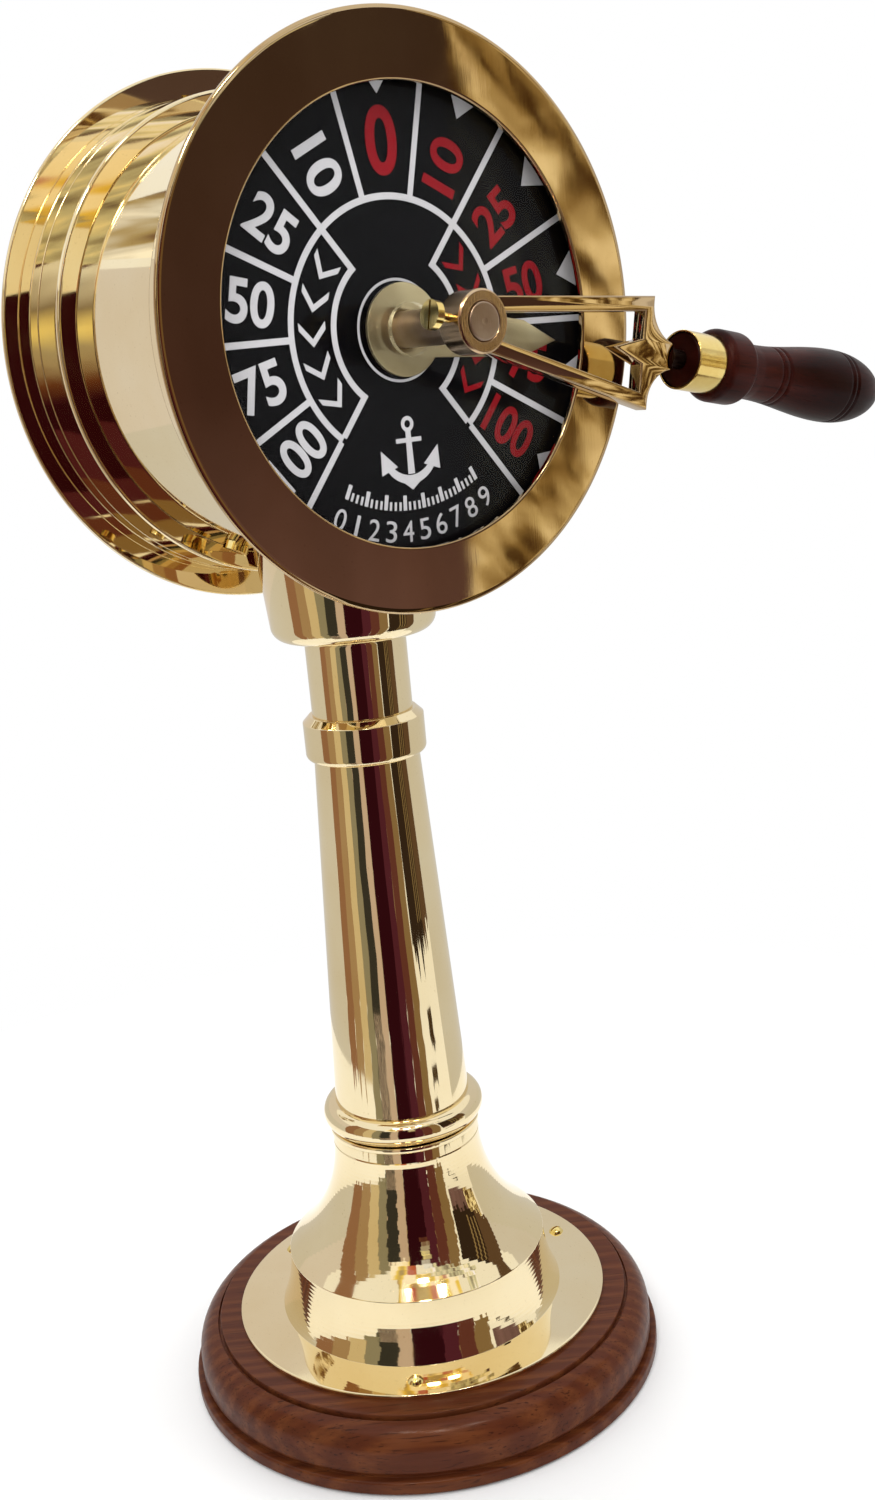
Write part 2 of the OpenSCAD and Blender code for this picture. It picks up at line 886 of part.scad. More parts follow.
// Flat disc about the drum's axis, from y0 to y1
module drum_disc(r, y0, y1) {
    translate([0, y0, drum_z])
        rotate([-90, 0, 0])
            cylinder(r = r, h = y1 - y0, $fn = 128);
}

module glass() {
    color("lightblue", 0.4)
        difference() {
            drum_disc(disc_r, -glass_y - glass_t, -glass_y);
            shaft_rod(glass_hole_r, -glass_y - glass_t - eps, -glass_y + eps);
        }
}

module glass_gasket() {
    color("black")
        drum_ring(aperture_r + gasket_back, disc_r, -flange_y, -flange_y + gasket_t);
}

module glass_spacer() {
    color("dimgray")
        drum_ring(disc_r - spacer_w, disc_r, -glass_y, -dial_y);
}

module dial_plate() {
    color("black")
        difference() {
            drum_disc(disc_r, -dial_y, -plate_y);
            shaft_rod(bush_r + fit, -dial_y - eps, -plate_y + eps);
        }
}

module post_places(y) {
    for (a = [45 : 90 : 315])
        translate([post_at * cos(a), y, drum_z + post_at * sin(a)])
            children();
}

module front_bearing_plate() {
    sink = post_screw_r * (head_k - 1);
    color("tan")
        difference() {
            drum_disc(disc_r, -plate_y, -shelf_y);
            shaft_rod(bush_r + fit / 2, -plate_y - eps, -shelf_y + eps);
            post_places(-plate_y)
                rotate([-90, 0, 0]) {
                    translate([0, 0, -eps])
                        cylinder(r = post_screw_r + fit, h = plate_t + 2 * eps);
                    translate([0, 0, -fit])
                        cylinder(r1 = post_screw_r * head_k + fit, r2 = post_screw_r + fit, h = sink + fit);
                }
        }
}

module rear_bearing_plate() {
    color("tan")
        difference() {
            drum_disc(disc_r, shelf_y, plate_y);
            shaft_rod(bush_r + fit / 2, shelf_y - eps, plate_y + eps);
            post_places(shelf_y - eps)
                rotate([-90, 0, 0])
                    cylinder(r = post_screw_r + fit, h = plate_t + 2 * eps);
        }
}

module front_bush() {
    color("orange")
        difference() {
            union() {
                shaft_rod(bush_r, -bush_front_y, -shelf_y + bush_flange_t);
                shaft_rod(bush_flange_r, -shelf_y, -shelf_y + bush_flange_t);
            }
            shaft_rod(bush_in, -bush_front_y - eps, -shelf_y + bush_flange_t + eps);
        }
}

module rear_bush() {
    color("orange")
        difference() {
            union() {
                shaft_rod(bush_r, shelf_y - bush_tail, plate_y + bush_flange_t);
                shaft_rod(bush_flange_r, plate_y, plate_y + bush_flange_t);
            }
            shaft_rod(bush_in, shelf_y - bush_tail - eps, plate_y + bush_flange_t + eps);
        }
}

module stay_posts() {
    deep = post_screw_l + post_screw_r;
    color("silver")
        post_places(-shelf_y)
            rotate([-90, 0, 0])
                difference() {
                    cylinder(r = post_r, h = 2 * shelf_y);
                    translate([0, 0, -eps])
                        cylinder(r = post_screw_r + fit / 2, h = deep + eps);
                    translate([0, 0, 2 * shelf_y - deep])
                        cylinder(r = post_screw_r + fit / 2, h = deep + eps);
                }
}

module stop_pins() {
    color("gray")
        for (s = [-1, 1])
            translate([s * stop_at * sin(pin_a), -shelf_y, shaft_z + stop_at * cos(pin_a)])
                rotate([-90, 0, 0])
                    cylinder(r = stop_r, h = shelf_y - collar_y + collar_l - turn_gap);
}

module front_post_screws() {
    head_r = post_screw_r * head_k;
    sink = post_screw_r * (head_k - 1);
    color("gray")
        post_places(-plate_y)
            rotate([-90, 0, 0])
                difference() {
                    union() {
                        cylinder(r1 = head_r, r2 = post_screw_r, h = sink);
                        cylinder(r = post_screw_r, h = plate_t + post_screw_l);
                    }
                    translate([-head_r, -post_screw_r * slot_k / 2, -eps])
                        cube([2 * head_r, post_screw_r * slot_k, eps + sink / 2]);
                }
}

module rear_post_screws() {
    color("gray")
        post_places(plate_y)
            rotate([-90, 0, 0])
                cheese_screw(post_screw_r, plate_t + post_screw_l);
}

module rear_spacer() {
    color("dimgray")
        drum_ring(disc_r - spacer_w, disc_r, plate_y, cover_y);
}

module rear_cover() {
    color("gold")
        drum_disc(disc_r, cover_y, flange_y);
}

module main_shaft() {
    color("darkgoldenrod")
        shaft_rod(shaft_r, -shaft_front, shaft_end_y);
}

module pointer() {
    neck_u = pointer_l - pointer_tip;
    color("darkkhaki")
        on_lever(pointer_lag)
            translate([0, -pointer_y, 0])
                rotate([90, 0, 0])
                    linear_extrude(pointer_t)
                        difference() {
                            union() {
                                circle(r = pointer_disc_r);
                                polygon([[0, -pointer_root], [neck_u, -pointer_half], [pointer_l, 0],
                                         [neck_u, pointer_half], [0, pointer_root]]);
                            }
                            circle(r = bore_on_shaft);
                        }
}

module pointer_boss() {
    color("goldenrod")
        difference() {
            shaft_rod(boss_r, -boss_y - boss_l, -boss_y);
            shaft_rod(bore_on_shaft, -boss_y - boss_l - eps, -boss_y + eps);
        }
}

// Places a child on the shaft collar, its +Z pointing away from the stop lug
module on_collar() {
    on_lever()
        translate([0, -collar_y + collar_l / 2, 0])
            rotate([0, -90, 0])
                children();
}

module shaft_collar() {
    color("silver")
        difference() {
            on_lever()
                translate([0, -collar_y + collar_l, 0])
                    rotate([90, 0, 0])
                        linear_extrude(collar_l)
                            difference() {
                                union() {
                                    circle(r = collar_r);
                                    translate([0, -lug_half])
                                        square([lug_l, 2 * lug_half]);
                                }
                                circle(r = bore_on_shaft);
                            }
            on_collar()
                translate([0, 0, shaft_r / 2])
                    cylinder(r = grub_r + fit / 2, h = collar_r);
        }
}

module collar_screw() {
    grub_l = collar_r - shaft_r - fit;
    slot = grub_r * slot_k;
    color("gray")
        on_collar()
            translate([0, 0, shaft_r + fit / 2])
                difference() {
                    cylinder(r = grub_r, h = grub_l);
                    translate([-2 * grub_r, -slot / 2, grub_l - slot])
                        cube([4 * grub_r, slot, slot + eps]);
                }
}

module friction_washer() {
    color("steelblue")
        difference() {
            shaft_rod(shim_r, -collar_y - shim_t, -collar_y);
            shaft_rod(bore_on_shaft, -collar_y - shim_t - eps, -collar_y + eps);
        }
}

module thrust_washer() {
    color("steelblue")
        difference() {
            shaft_rod(shim_r, thrust_y, thrust_y + shim_t);
            shaft_rod(bore_on_shaft, thrust_y - eps, thrust_y + shim_t + eps);
        }
}

module end_nut() {
    color("dimgray")
        translate([0, thrust_y + shim_t, shaft_z])
            rotate([-90, 0, 0])
                hex_nut(2 * shim_r, end_nut_t, shaft_r);
}

module yoke_outline() {
    difference() {
        polygon([[0, -bar_root], [yoke_out, -yoke_half], [yoke_out, yoke_half], [0, bar_root]]);
        polygon([[window_l, -bar_edge(window_l)], [yoke_l, -bar_edge(yoke_l)],
                 [yoke_l, bar_edge(yoke_l)], [window_l, bar_edge(window_l)]]);
    }
    polygon([[yoke_l + cross_w / 2, -index_half], [yoke_l, -index_half], [yoke_l - index_l, 0],
             [yoke_l, index_half], [yoke_l + cross_w / 2, index_half]]);
    difference() {
        translate([yoke_out - cross_w / 2, -brace_v])
            square([neck_reach + cross_w / 2, 2 * brace_v]);
        for (s = [-1, 1])
            translate([yoke_out + brace_arc, s * brace_v])
                circle(r = brace_arc);
    }
}

module yoke() {
    color("chocolate")
        difference() {
            union() {
                on_lever()
                    translate([0, -lever_y + bar_t / 2, 0])
                        rotate([90, 0, 0])
                            linear_extrude(bar_t)
                                yoke_outline();
                translate([0, -hub_front, shaft_z])
                    rotate([-90, 0, 0])
                        rotate_extrude()
                            polygon([[0, 0], [hub_r - hub_chamfer, 0], [hub_r, hub_chamfer], [hub_r, hub_l],
                                     [0, hub_l]]);
            }
            shaft_rod(bore_on_shaft, -hub_front - eps, -hub_back + eps);
            on_lever()
                translate([0, -lever_y, 0])
                    rotate([0, -90, 0])
                        cylinder(r = set_screw_r + fit / 2, h = hub_r + eps);
            on_lever()
                translate([neck_end - tang_spigot_l, -lever_y, 0])
                    rotate([0, 90, 0])
                        cylinder(r = tang_spigot_r + fit / 2, h = tang_spigot_l + eps);
        }
}

module lever_screw() {
    color("yellow")
        on_lever()
            translate([-hub_r - set_screw_out, -lever_y, 0])
                rotate([0, -90, 0])
                    cheese_screw(set_screw_r, set_screw_out + hub_r - shaft_r - fit / 2,
                                 set_head_r / set_screw_r, set_head_h / set_screw_r);
}

module tang_rod() {
    color("dimgray")
        spin_handle()
            polygon([[0, neck_end - tang_spigot_l + fit], [tang_spigot_r, neck_end - tang_spigot_l + fit],
                     [tang_spigot_r, neck_end], [tang_r, neck_end], [tang_r, grip_u + tang_l - fit],
                     [0, grip_u + tang_l - fit]]);
}

module ferrule() {
    color("gold")
        spin_handle()
            translate([ferrule_r - ferrule_t, grip_u])
                square([ferrule_t, ferrule_l]);
}

module grip_profile() {
    waist_in = waist_l / 9;
    body = concat([[0, knob_u - knob_round], [waist_in + waist_r, knob_u - knob_round], [waist_in + waist_r, knob_u]],
                  [for (i = [0 : 12]) [belly_at(i / 12), waist_u + belly_l * i / 12]],
                  [for (i = [1 : 12]) [belly_r * cos(7.5 * i), belly_u + nose_l * sin(7.5 * i)]]);
    translate([0, grip_u])
        square([core_r, ferrule_l + eps]);
    translate([0, ferrule_u])
        square([knob_r - knob_round, knob_l]);
    translate([0, ferrule_u + knob_round])
        square([knob_r, knob_l - 2 * knob_round]);
    for (u = [ferrule_u + knob_round, knob_u - knob_round])
        translate([knob_r - knob_round, u])
            circle(r = knob_round);
    polygon(body);
}

module grip() {
    color("brown")
        spin_handle()
            difference() {
                grip_profile();
                translate([-eps, grip_u - eps])
                    square([tang_r + fit / 2 + eps, tang_l + eps]);
                for (u = groove_us)
                    translate([grip_at(u) + turn_d / 3, u])
                        circle(r = turn_d);
            }
}

base_felt();
wooden_base();
pedestal_foot();
flange_screws();
ring_moulding();
column_shaft();
collar_band();
neck_tube();
saddle();
tie_rod();
tie_nuts();
tie_washers();
drum_shell();
clamp_plate();
clamp_screws();
front_case_ring();
rear_case_ring();
front_case_screws();
rear_case_screws();
front_bezel();
rear_bezel();
glass();
glass_gasket();
glass_spacer();
dial_plate();
front_bearing_plate();
rear_bearing_plate();
front_bush();
rear_bush();
stay_posts();
stop_pins();
front_post_screws();
rear_post_screws();
rear_spacer();
rear_cover();
main_shaft();
pointer();
pointer_boss();
shaft_collar();
collar_screw();
friction_washer();
thrust_washer();
end_nut();
yoke();
lever_screw();
tang_rod();
ferrule();
grip();
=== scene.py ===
import json
import math
from types import SimpleNamespace

import bmesh
import bpy
from mathutils import Matrix, Vector


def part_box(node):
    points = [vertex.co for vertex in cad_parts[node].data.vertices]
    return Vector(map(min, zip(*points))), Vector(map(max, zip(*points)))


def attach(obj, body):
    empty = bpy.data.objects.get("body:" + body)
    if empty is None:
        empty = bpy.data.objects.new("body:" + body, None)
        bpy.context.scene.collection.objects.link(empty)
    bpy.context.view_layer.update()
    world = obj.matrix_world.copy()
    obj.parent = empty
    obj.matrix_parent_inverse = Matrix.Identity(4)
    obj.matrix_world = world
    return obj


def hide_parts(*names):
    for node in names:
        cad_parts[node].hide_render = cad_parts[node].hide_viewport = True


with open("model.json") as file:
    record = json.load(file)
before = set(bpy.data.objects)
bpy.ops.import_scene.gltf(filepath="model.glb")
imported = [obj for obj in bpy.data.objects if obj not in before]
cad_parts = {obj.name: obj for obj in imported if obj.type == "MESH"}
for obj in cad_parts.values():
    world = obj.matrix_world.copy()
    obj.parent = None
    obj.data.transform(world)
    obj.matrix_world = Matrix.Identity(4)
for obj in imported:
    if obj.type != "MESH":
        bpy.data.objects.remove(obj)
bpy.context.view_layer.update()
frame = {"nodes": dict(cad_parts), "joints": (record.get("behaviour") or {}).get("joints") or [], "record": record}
scene = bpy.context.scene
nodes = frame["nodes"]
slotOf = {part["node"]: part["material_slot"] for part in frame["record"]["subparts"]}
mm = 0.001
shaftZ = frame["joints"][0]["pos_m"][2] / mm  # shaft axis, in mm above the table
print("frame loaded:", len(nodes), "nodes")


def boxMm(node):
    low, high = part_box(node)
    return low / mm, high / mm


def build(*steps):
    # each step is a function and its dictionary, whose values it reads by name
    for add, shape in steps:
        add(SimpleNamespace(**shape))


# camera

cameraSetup = {
    "place": (-404.93, -584.8, 473.03),  # mm
    "yaw": 37.25, "pitch": 13.86, "roll": 5.31,  # degrees
    "lens": 39.13, "sensor": 36.0, "nearest": 0.01, "farthest": 50,
}


def addCamera(s):
    yaw, pitch, roll = (math.radians(angle) for angle in (s.yaw, s.pitch, s.roll))
    level = math.cos(pitch)
    ahead = Vector((math.sin(yaw) * level, math.cos(yaw) * level, -math.sin(pitch)))
    right = Vector((math.cos(yaw), -math.sin(yaw), 0))
    down = ahead.cross(right)
    rightRolled = math.cos(roll) * right + math.sin(roll) * down
    downRolled = math.cos(roll) * down - math.sin(roll) * right
    data = bpy.data.cameras.new("photoCamera")
    data.sensor_fit = "AUTO"
    data.sensor_width = s.sensor
    data.lens = s.lens
    data.clip_start = s.nearest
    data.clip_end = s.farthest
    camera = bpy.data.objects.new("photoCamera", data)
    axes = Matrix((rightRolled, -downRolled, -ahead)).transposed()
    camera.matrix_world = Matrix.Translation(Vector(s.place) * mm) @ axes.to_4x4()
    scene.collection.objects.link(camera)
    scene.camera = camera


build((addCamera, cameraSetup))
print("camera placed")


# node helpers for the finishes

class Nodes:
    def __init__(self, tree):
        self.tree = tree

    def feed(self, socket, value):
        # a socket takes a link, a colour of three numbers or a plain value
        if hasattr(value, "is_linked"):
            self.tree.links.new(value, socket)
        else:
            socket.default_value = (*value, 1) if socket.type == "RGBA" else value

    def add(self, kind, **settings):
        node = self.tree.nodes.new(kind)
        for key, value in settings.items():
            name = key.replace("_", " ")
            if name in node.inputs:
                self.feed(node.inputs[name], value)
            else:
                setattr(node, key, value)
        return node

    def inTurn(self, node, *values):
        for socket, value in zip(node.inputs, values):
            self.feed(socket, value)
        return node.outputs[0]

    def reckon(self, operation, *values):
        return self.inTurn(self.add("ShaderNodeMath", operation=operation), *values)

    def measure(self, operation, *values):
        node = self.add("ShaderNodeVectorMath", operation=operation)
        self.inTurn(node, *values)
        return node.outputs["Value"]

    def mixed(self, factor, first, second):
        return self.inTurn(self.add("ShaderNodeMixShader"), factor, first, second)

    def seen(self):
        # 1 for what is seen directly, mirrored or through glass
        rays = self.add("ShaderNodeLightPath").outputs
        direct = self.reckon("MAXIMUM", rays["Is Camera Ray"], rays["Is Glossy Ray"])
        return self.reckon("MAXIMUM", direct, rays["Is Transmission Ray"])


class Finish(Nodes):
    def __init__(self, name):
        self.material = bpy.data.materials.new(name)
        self.material.use_nodes = True
        super().__init__(self.material.node_tree)
        self.shader = self.tree.nodes["Principled BSDF"]
        self.surface = self.tree.nodes["Material Output"].inputs["Surface"]
        self.place = self.add("ShaderNodeTexCoord").outputs["Object"]

    def stretch(self, scale, turn=(0, 0, 0)):
        turned = self.add("ShaderNodeMapping", Vector=self.place, Rotation=turn)
        return self.add("ShaderNodeMapping", Vector=turned.outputs["Vector"], Scale=scale).outputs["Vector"]

    def noise(self, vector, scale, detail=3.0, rough=0.5, distortion=0.0):
        node = self.add("ShaderNodeTexNoise", Vector=vector, Scale=scale, Detail=detail, Roughness=rough,
                        Distortion=distortion)
        return node.outputs["Fac"]

    def height(self):
        return self.add("ShaderNodeSeparateXYZ", Vector=self.place).outputs["Z"]

    def ramp(self, factor, *stops):
        node = self.add("ShaderNodeValToRGB", Fac=factor)
        band = node.color_ramp
        while len(band.elements) < len(stops):
            band.elements.new(0.5)
        for element, (position, colour) in zip(band.elements, stops):
            element.position = position
            element.color = (*colour, 1)
        return node.outputs["Color"]

    def span(self, factor, low, high, fromLow=0.3, fromHigh=0.7):
        node = self.add("ShaderNodeMapRange", Value=factor, From_Min=fromLow, From_Max=fromHigh, To_Min=low,
                        To_Max=high)
        return node.outputs["Result"]

    def blend(self, factor, first, second):
        node = self.add("ShaderNodeMix", data_type="RGBA")
        for key, value in ((0, factor), (6, first), (7, second)):  # the sockets for colours
            self.feed(node.inputs[key], value)
        return node.outputs[2]

    def bump(self, height, strength, distance, under=None):
        node = self.add("ShaderNodeBump", Height=height, Strength=strength, Distance=distance)
        if under:
            self.feed(node.inputs["Normal"], under)
        return node.outputs["Normal"]

    def set(self, **sockets):
        for key, value in sockets.items():
            self.feed(self.shader.inputs[key.replace("_", " ")], value)


brassGrain = {
    "toneStops": (0.32, 0.55, 0.75), "speckScale": 900, "speckSpan": (0.66, 0.76),
    "hairStretch": (1800, 1800, 60), "hairDeep": 0.00015, "smearScale": 38, "smearSpan": (0.42, 0.78),
    "waveDeep": 0.004,
}
polishedLook = {
    "deep": (0.84, 0.69, 0.41), "colour": (0.88, 0.745, 0.475), "pale": (0.90, 0.79, 0.54),
    "tarnish": (0.45, 0.30, 0.13), "cloud": 14, "specks": 0.3, "rough": 0.03, "smear": 0.05,
    "wave": 0.02, "waveScale": 16, "hair": 0.006,
}
bronzedLook = {
    "deep": (0.50, 0.35, 0.18), "colour": (0.55, 0.40, 0.22), "pale": (0.60, 0.45, 0.26),
    "tarnish": (0.22, 0.12, 0.05), "cloud": 18, "specks": 0.3, "rough": 0.03, "smear": 0.03,
    "wave": 0.025, "waveScale": 30, "hair": 0.010,
}
satinLook = {
    "deep": (0.28, 0.22, 0.12), "colour": (0.34, 0.28, 0.16), "pale": (0.41, 0.34, 0.20),
    "tarnish": (0.12, 0.08, 0.03), "cloud": 40, "specks": 0.3, "rough": 0.34, "smear": 0.12,
    "wave": 0.03, "waveScale": 30, "hair": 0.25,
}
brightLook = {
    "deep": (0.80, 0.58, 0.19), "colour": (0.88, 0.70, 0.27), "pale": (0.92, 0.79, 0.42),
    "tarnish": (0.4, 0.25, 0.08), "cloud": 60, "specks": 0.25, "rough": 0.10, "smear": 0.08,
    "wave": 0.02, "waveScale": 50, "hair": 0.12,
}
hubLook = {
    "deep": (0.52, 0.36, 0.20), "colour": (0.60, 0.44, 0.27), "pale": (0.68, 0.53, 0.36),
    "tarnish": (0.24, 0.14, 0.07), "cloud": 60, "specks": 0.3, "rough": 0.16, "smear": 0.10,
    "wave": 0.03, "waveScale": 60, "hair": 0.3,
}
roseLook = {
    "deep": (0.42, 0.31, 0.22), "colour": (0.48, 0.37, 0.28), "pale": (0.56, 0.46, 0.36),
    "tarnish": (0.25, 0.17, 0.11), "cloud": 70, "specks": 0.3, "rough": 0.34, "smear": 0.10,
    "wave": 0.02, "waveScale": 60, "hair": 0.3,
}


def brass(name, look):
    f = Finish(name)
    s = SimpleNamespace(**brassGrain, **look)
    cloud = f.noise(f.place, s.cloud, detail=4, rough=0.55)
    tone = f.ramp(cloud, *zip(s.toneStops, (s.deep, s.colour, s.pale)))
    specks = f.noise(f.place, s.speckScale, detail=2, rough=0.6)
    tone = f.blend(f.span(specks, 0, s.specks, *s.speckSpan), tone, s.tarnish)
    hair = f.noise(f.stretch(s.hairStretch), 1.0, rough=0.6)  # polishing hairlines
    smear = f.noise(f.place, s.smearScale, detail=5, rough=0.6, distortion=0.6)
    wave = f.noise(f.place, s.waveScale, detail=2, rough=0.4)  # hand-buffed unevenness
    f.set(Base_Color=tone, Metallic=1.0, Roughness=f.span(smear, s.rough, s.rough + s.smear, *s.smearSpan),
          Normal=f.bump(hair, s.hair, s.hairDeep, f.bump(wave, s.wave, s.waveDeep)))
    return f.material


woodGrain = {
    "toneStops": (0.1, 0.5, 0.9), "ringDetail": 1.4, "streakDepth": 0.75, "streakSpan": (0.42, 0.72),
    "poreSpan": (0.60, 0.68), "blotchScale": 11, "blotchDepth": 0.35, "blotchSpan": (0.45, 0.75),
    "poreBump": (0.10, 0.0002), "fibreBump": (0.05, 0.0003), "roughSpread": 0.14,
}
baseWoodLook = {
    "dark": (0.082, 0.0195, 0.0068), "mid": (0.098, 0.025, 0.0080), "light": (0.122, 0.034, 0.0100),
    "streak": (0.058, 0.014, 0.0050), "pore": (0.026, 0.007, 0.003), "poreDepth": 0.75,
    "stretch": (90, 5, 90), "turn": (0, 0, 2.22), "rings": 0.42, "wander": 7.0, "fibre": 4.0,
    "poreStretch": (1100, 40, 1100), "rough": 0.36, "coat": 0.22, "coatRough": 0.17, "shine": 0.05,
}
gripWoodLook = {
    "dark": (0.010, 0.0011, 0.0006), "mid": (0.022, 0.0026, 0.0014), "light": (0.040, 0.0056, 0.0030),
    "streak": (0.014, 0.0016, 0.0009), "pore": (0.004, 0.0008, 0.0005), "poreDepth": 0.6,
    "stretch": (6, 60, 60), "turn": (0, -0.2, 0), "rings": 0.5, "wander": 4.0, "fibre": 6.0,
    "poreStretch": (60, 1200, 1200), "rough": 0.26, "coat": 0.02, "coatRough": 0.09, "shine": 0.07,
}


def wood(name, look):
    f = Finish(name)
    s = SimpleNamespace(**woodGrain, **look)
    along = f.stretch(s.stretch, s.turn)
    growth = f.add("ShaderNodeTexWave", wave_type="BANDS", bands_direction="X", Vector=along, Scale=s.rings,
                   Distortion=s.wander, Detail=3.0, Detail_Scale=s.ringDetail)
    fibre = f.noise(along, s.fibre, detail=6, rough=0.65)
    pores = f.noise(f.stretch(s.poreStretch, s.turn), 1.0, detail=2)
    tone = f.ramp(growth.outputs["Fac"], *zip(s.toneStops, (s.dark, s.mid, s.light)))
    tone = f.blend(f.span(fibre, 0, s.streakDepth, *s.streakSpan), tone, s.streak)
    tone = f.blend(f.span(pores, 0, s.poreDepth, *s.poreSpan), tone, s.pore)
    blotch = f.noise(f.place, s.blotchScale)
    tone = f.blend(f.span(blotch, 0, s.blotchDepth, *s.blotchSpan), tone, s.dark)
    f.set(Base_Color=tone, Roughness=f.span(fibre, s.rough, s.rough + s.roughSpread),
          Normal=f.bump(fibre, *s.fibreBump, f.bump(pores, *s.poreBump)), Specular_IOR_Level=s.shine,
          Coat_Weight=s.coat, Coat_Roughness=s.coatRough)
    return f.material


dialLook = {
    "colour": (0.0015, 0.0015, 0.0021), "speck": (0.0034, 0.0032, 0.0040), "dust": 1400,
    "dustSpan": (0.66, 0.78), "cloud": 30, "rough": (0.38, 0.55), "bump": (0.06, 0.0001), "shine": 0.03,
}


def enamel(name, look):
    f = Finish(name)
    s = SimpleNamespace(**look)
    dust = f.noise(f.place, s.dust, detail=2)
    tone = f.blend(f.span(dust, 0, 0.5, *s.dustSpan), s.colour, s.speck)
    cloud = f.noise(f.place, s.cloud, detail=4, rough=0.6)
    f.set(Base_Color=f.blend(f.span(cloud, 0, 0.4), tone, s.speck), Roughness=f.span(cloud, *s.rough),
          Normal=f.bump(dust, *s.bump), Specular_IOR_Level=s.shine)
    return f.material


turnedSteelLook = {
    "dark": (0.36, 0.36, 0.37), "light": (0.52, 0.52, 0.53), "lathe": (120, 2400, 120), "rough": (0.22, 0.4),
    "bump": (0.2, 0.0001),
}
# a much darker steel, used only for the tang rod between the lever's neck and the ferrule; only its colours differ
# from the turned steel
darkSteelLook = {**turnedSteelLook, "dark": (0.045, 0.026, 0.020), "light": (0.085, 0.052, 0.040)}


def steel(name, look):
    f = Finish(name)
    s = SimpleNamespace(**look)
    turned = f.noise(f.stretch(s.lathe), 1.0, rough=0.6)
    f.set(Base_Color=f.ramp(turned, (0.3, s.dark), (0.7, s.light)), Metallic=1.0,
          Roughness=f.span(turned, *s.rough), Normal=f.bump(turned, *s.bump))
    return f.material


rubberLook = {
    "dark": (0.014, 0.014, 0.014), "light": (0.028, 0.028, 0.028), "grain": 1600, "rough": (0.6, 0.8),
    "bump": (0.3, 0.0002),
}


def rubber(name, look):
    f = Finish(name)
    s = SimpleNamespace(**look)
    grain = f.noise(f.place, s.grain, rough=0.6)
    f.set(Base_Color=f.ramp(grain, (0.3, s.dark), (0.7, s.light)), Roughness=f.span(grain, *s.rough),
          Normal=f.bump(grain, *s.bump))
    return f.material


feltLook = {
    "dark": (0.022, 0.085, 0.045), "light": (0.060, 0.180, 0.105), "clumpTone": (0.03, 0.11, 0.06),
    "fuzz": 2600, "clump": 260, "rough": (0.85, 1.0), "bump": (0.8, 0.0006), "sheen": 0.4,
}


def felt(name, look):
    f = Finish(name)
    s = SimpleNamespace(**look)
    fuzz = f.noise(f.place, s.fuzz, detail=5, rough=0.7)
    clump = f.noise(f.place, s.clump, detail=4, rough=0.6)
    tone = f.ramp(fuzz, (0.3, s.dark), (0.7, s.light))
    f.set(Base_Color=f.blend(f.span(clump, 0, 0.5), tone, s.clumpTone), Roughness=f.span(clump, *s.rough),
          Normal=f.bump(fuzz, *s.bump), Sheen_Weight=s.sheen)
    return f.material


glassLook = {"colour": (0.97, 0.985, 0.98), "bend": 1.16, "wipe": (40, 8, 40), "rough": (0.0, 0.02)}


def clearGlass(name, look):
    f = Finish(name)
    s = SimpleNamespace(**look)
    wipe = f.noise(f.stretch(s.wipe), 1.0, detail=4, rough=0.6)
    f.set(Base_Color=s.colour, Transmission_Weight=1.0, IOR=s.bend, Roughness=f.span(wipe, *s.rough, 0.5, 0.8))
    rays = f.add("ShaderNodeLightPath").outputs
    soft = f.reckon("MAXIMUM", rays["Is Shadow Ray"], rays["Is Diffuse Ray"])  # light passes straight through
    through = f.add("ShaderNodeBsdfTransparent").outputs["BSDF"]
    f.feed(f.surface, f.mixed(soft, f.shader.outputs["BSDF"], through))
    return f.material


paintGrain = {
    "patch": 420, "patchSpan": (0.5, 0.8), "cloud": 60, "rough": (0.4, 0.6), "bump": (0.1, 0.00005), "shine": 0.08,
}
whiteLook = {**paintGrain, "colour": (0.66, 0.64, 0.66), "worn": (0.56, 0.54, 0.56)}
redLook = {**paintGrain, "colour": (0.29, 0.005, 0.011), "worn": (0.22, 0.004, 0.009)}


def paint(name, look):
    f = Finish(name)
    s = SimpleNamespace(**look)
    patch = f.noise(f.place, s.patch, detail=4, rough=0.6)
    cloud = f.noise(f.place, s.cloud)
    tone = f.blend(f.span(patch, 0, 0.55, *s.patchSpan), s.colour, s.worn)
    f.set(Base_Color=f.blend(f.span(cloud, 0, 0.35), tone, s.worn), Roughness=f.span(cloud, *s.rough),
          Normal=f.bump(patch, *s.bump), Specular_IOR_Level=s.shine)
    return f.material


finishes = {
    "polished_brass": brass("polishedBrass", polishedLook),
    "bronzed_brass": brass("bronzedBrass", bronzedLook),
    "satin_brass": brass("satinBrass", satinLook),
    "base_wood": wood("baseWood", baseWoodLook),
    "grip_wood": wood("gripWood", gripWoodLook),
    "clear_glass": clearGlass("clearGlass", glassLook),
    "black_dial": enamel("blackDial", dialLook),
    "plain_steel": steel("turnedSteel", turnedSteelLook),
    "black_rubber": rubber("blackRubber", rubberLook),
    "green_felt": felt("greenFelt", feltLook),
}
brightBrass = brass("brightBrass", brightLook)
hubBrass = brass("hubBrass", hubLook)
roseBrass = brass("roseBrass", roseLook)
darkSteel = steel("darkSteel", darkSteelLook)
whitePaint = paint("whitePaint", whiteLook)
redPaint = paint("redPaint", redLook)
brightNodes = ("flange_screws", "clamp_screws", "front_case_screws", "rear_case_screws", "lever_screw")
special = {"tang_rod": darkSteel, **dict.fromkeys(brightNodes, brightBrass)}

for nodeName, nodeObject in nodes.items():
    nodeObject.data.materials.clear()
    nodeObject.data.materials.append(special.get(nodeName, finishes[slotOf[nodeName]]))
print("finishes made:", len(bpy.data.materials))


# shape helpers, all in mm

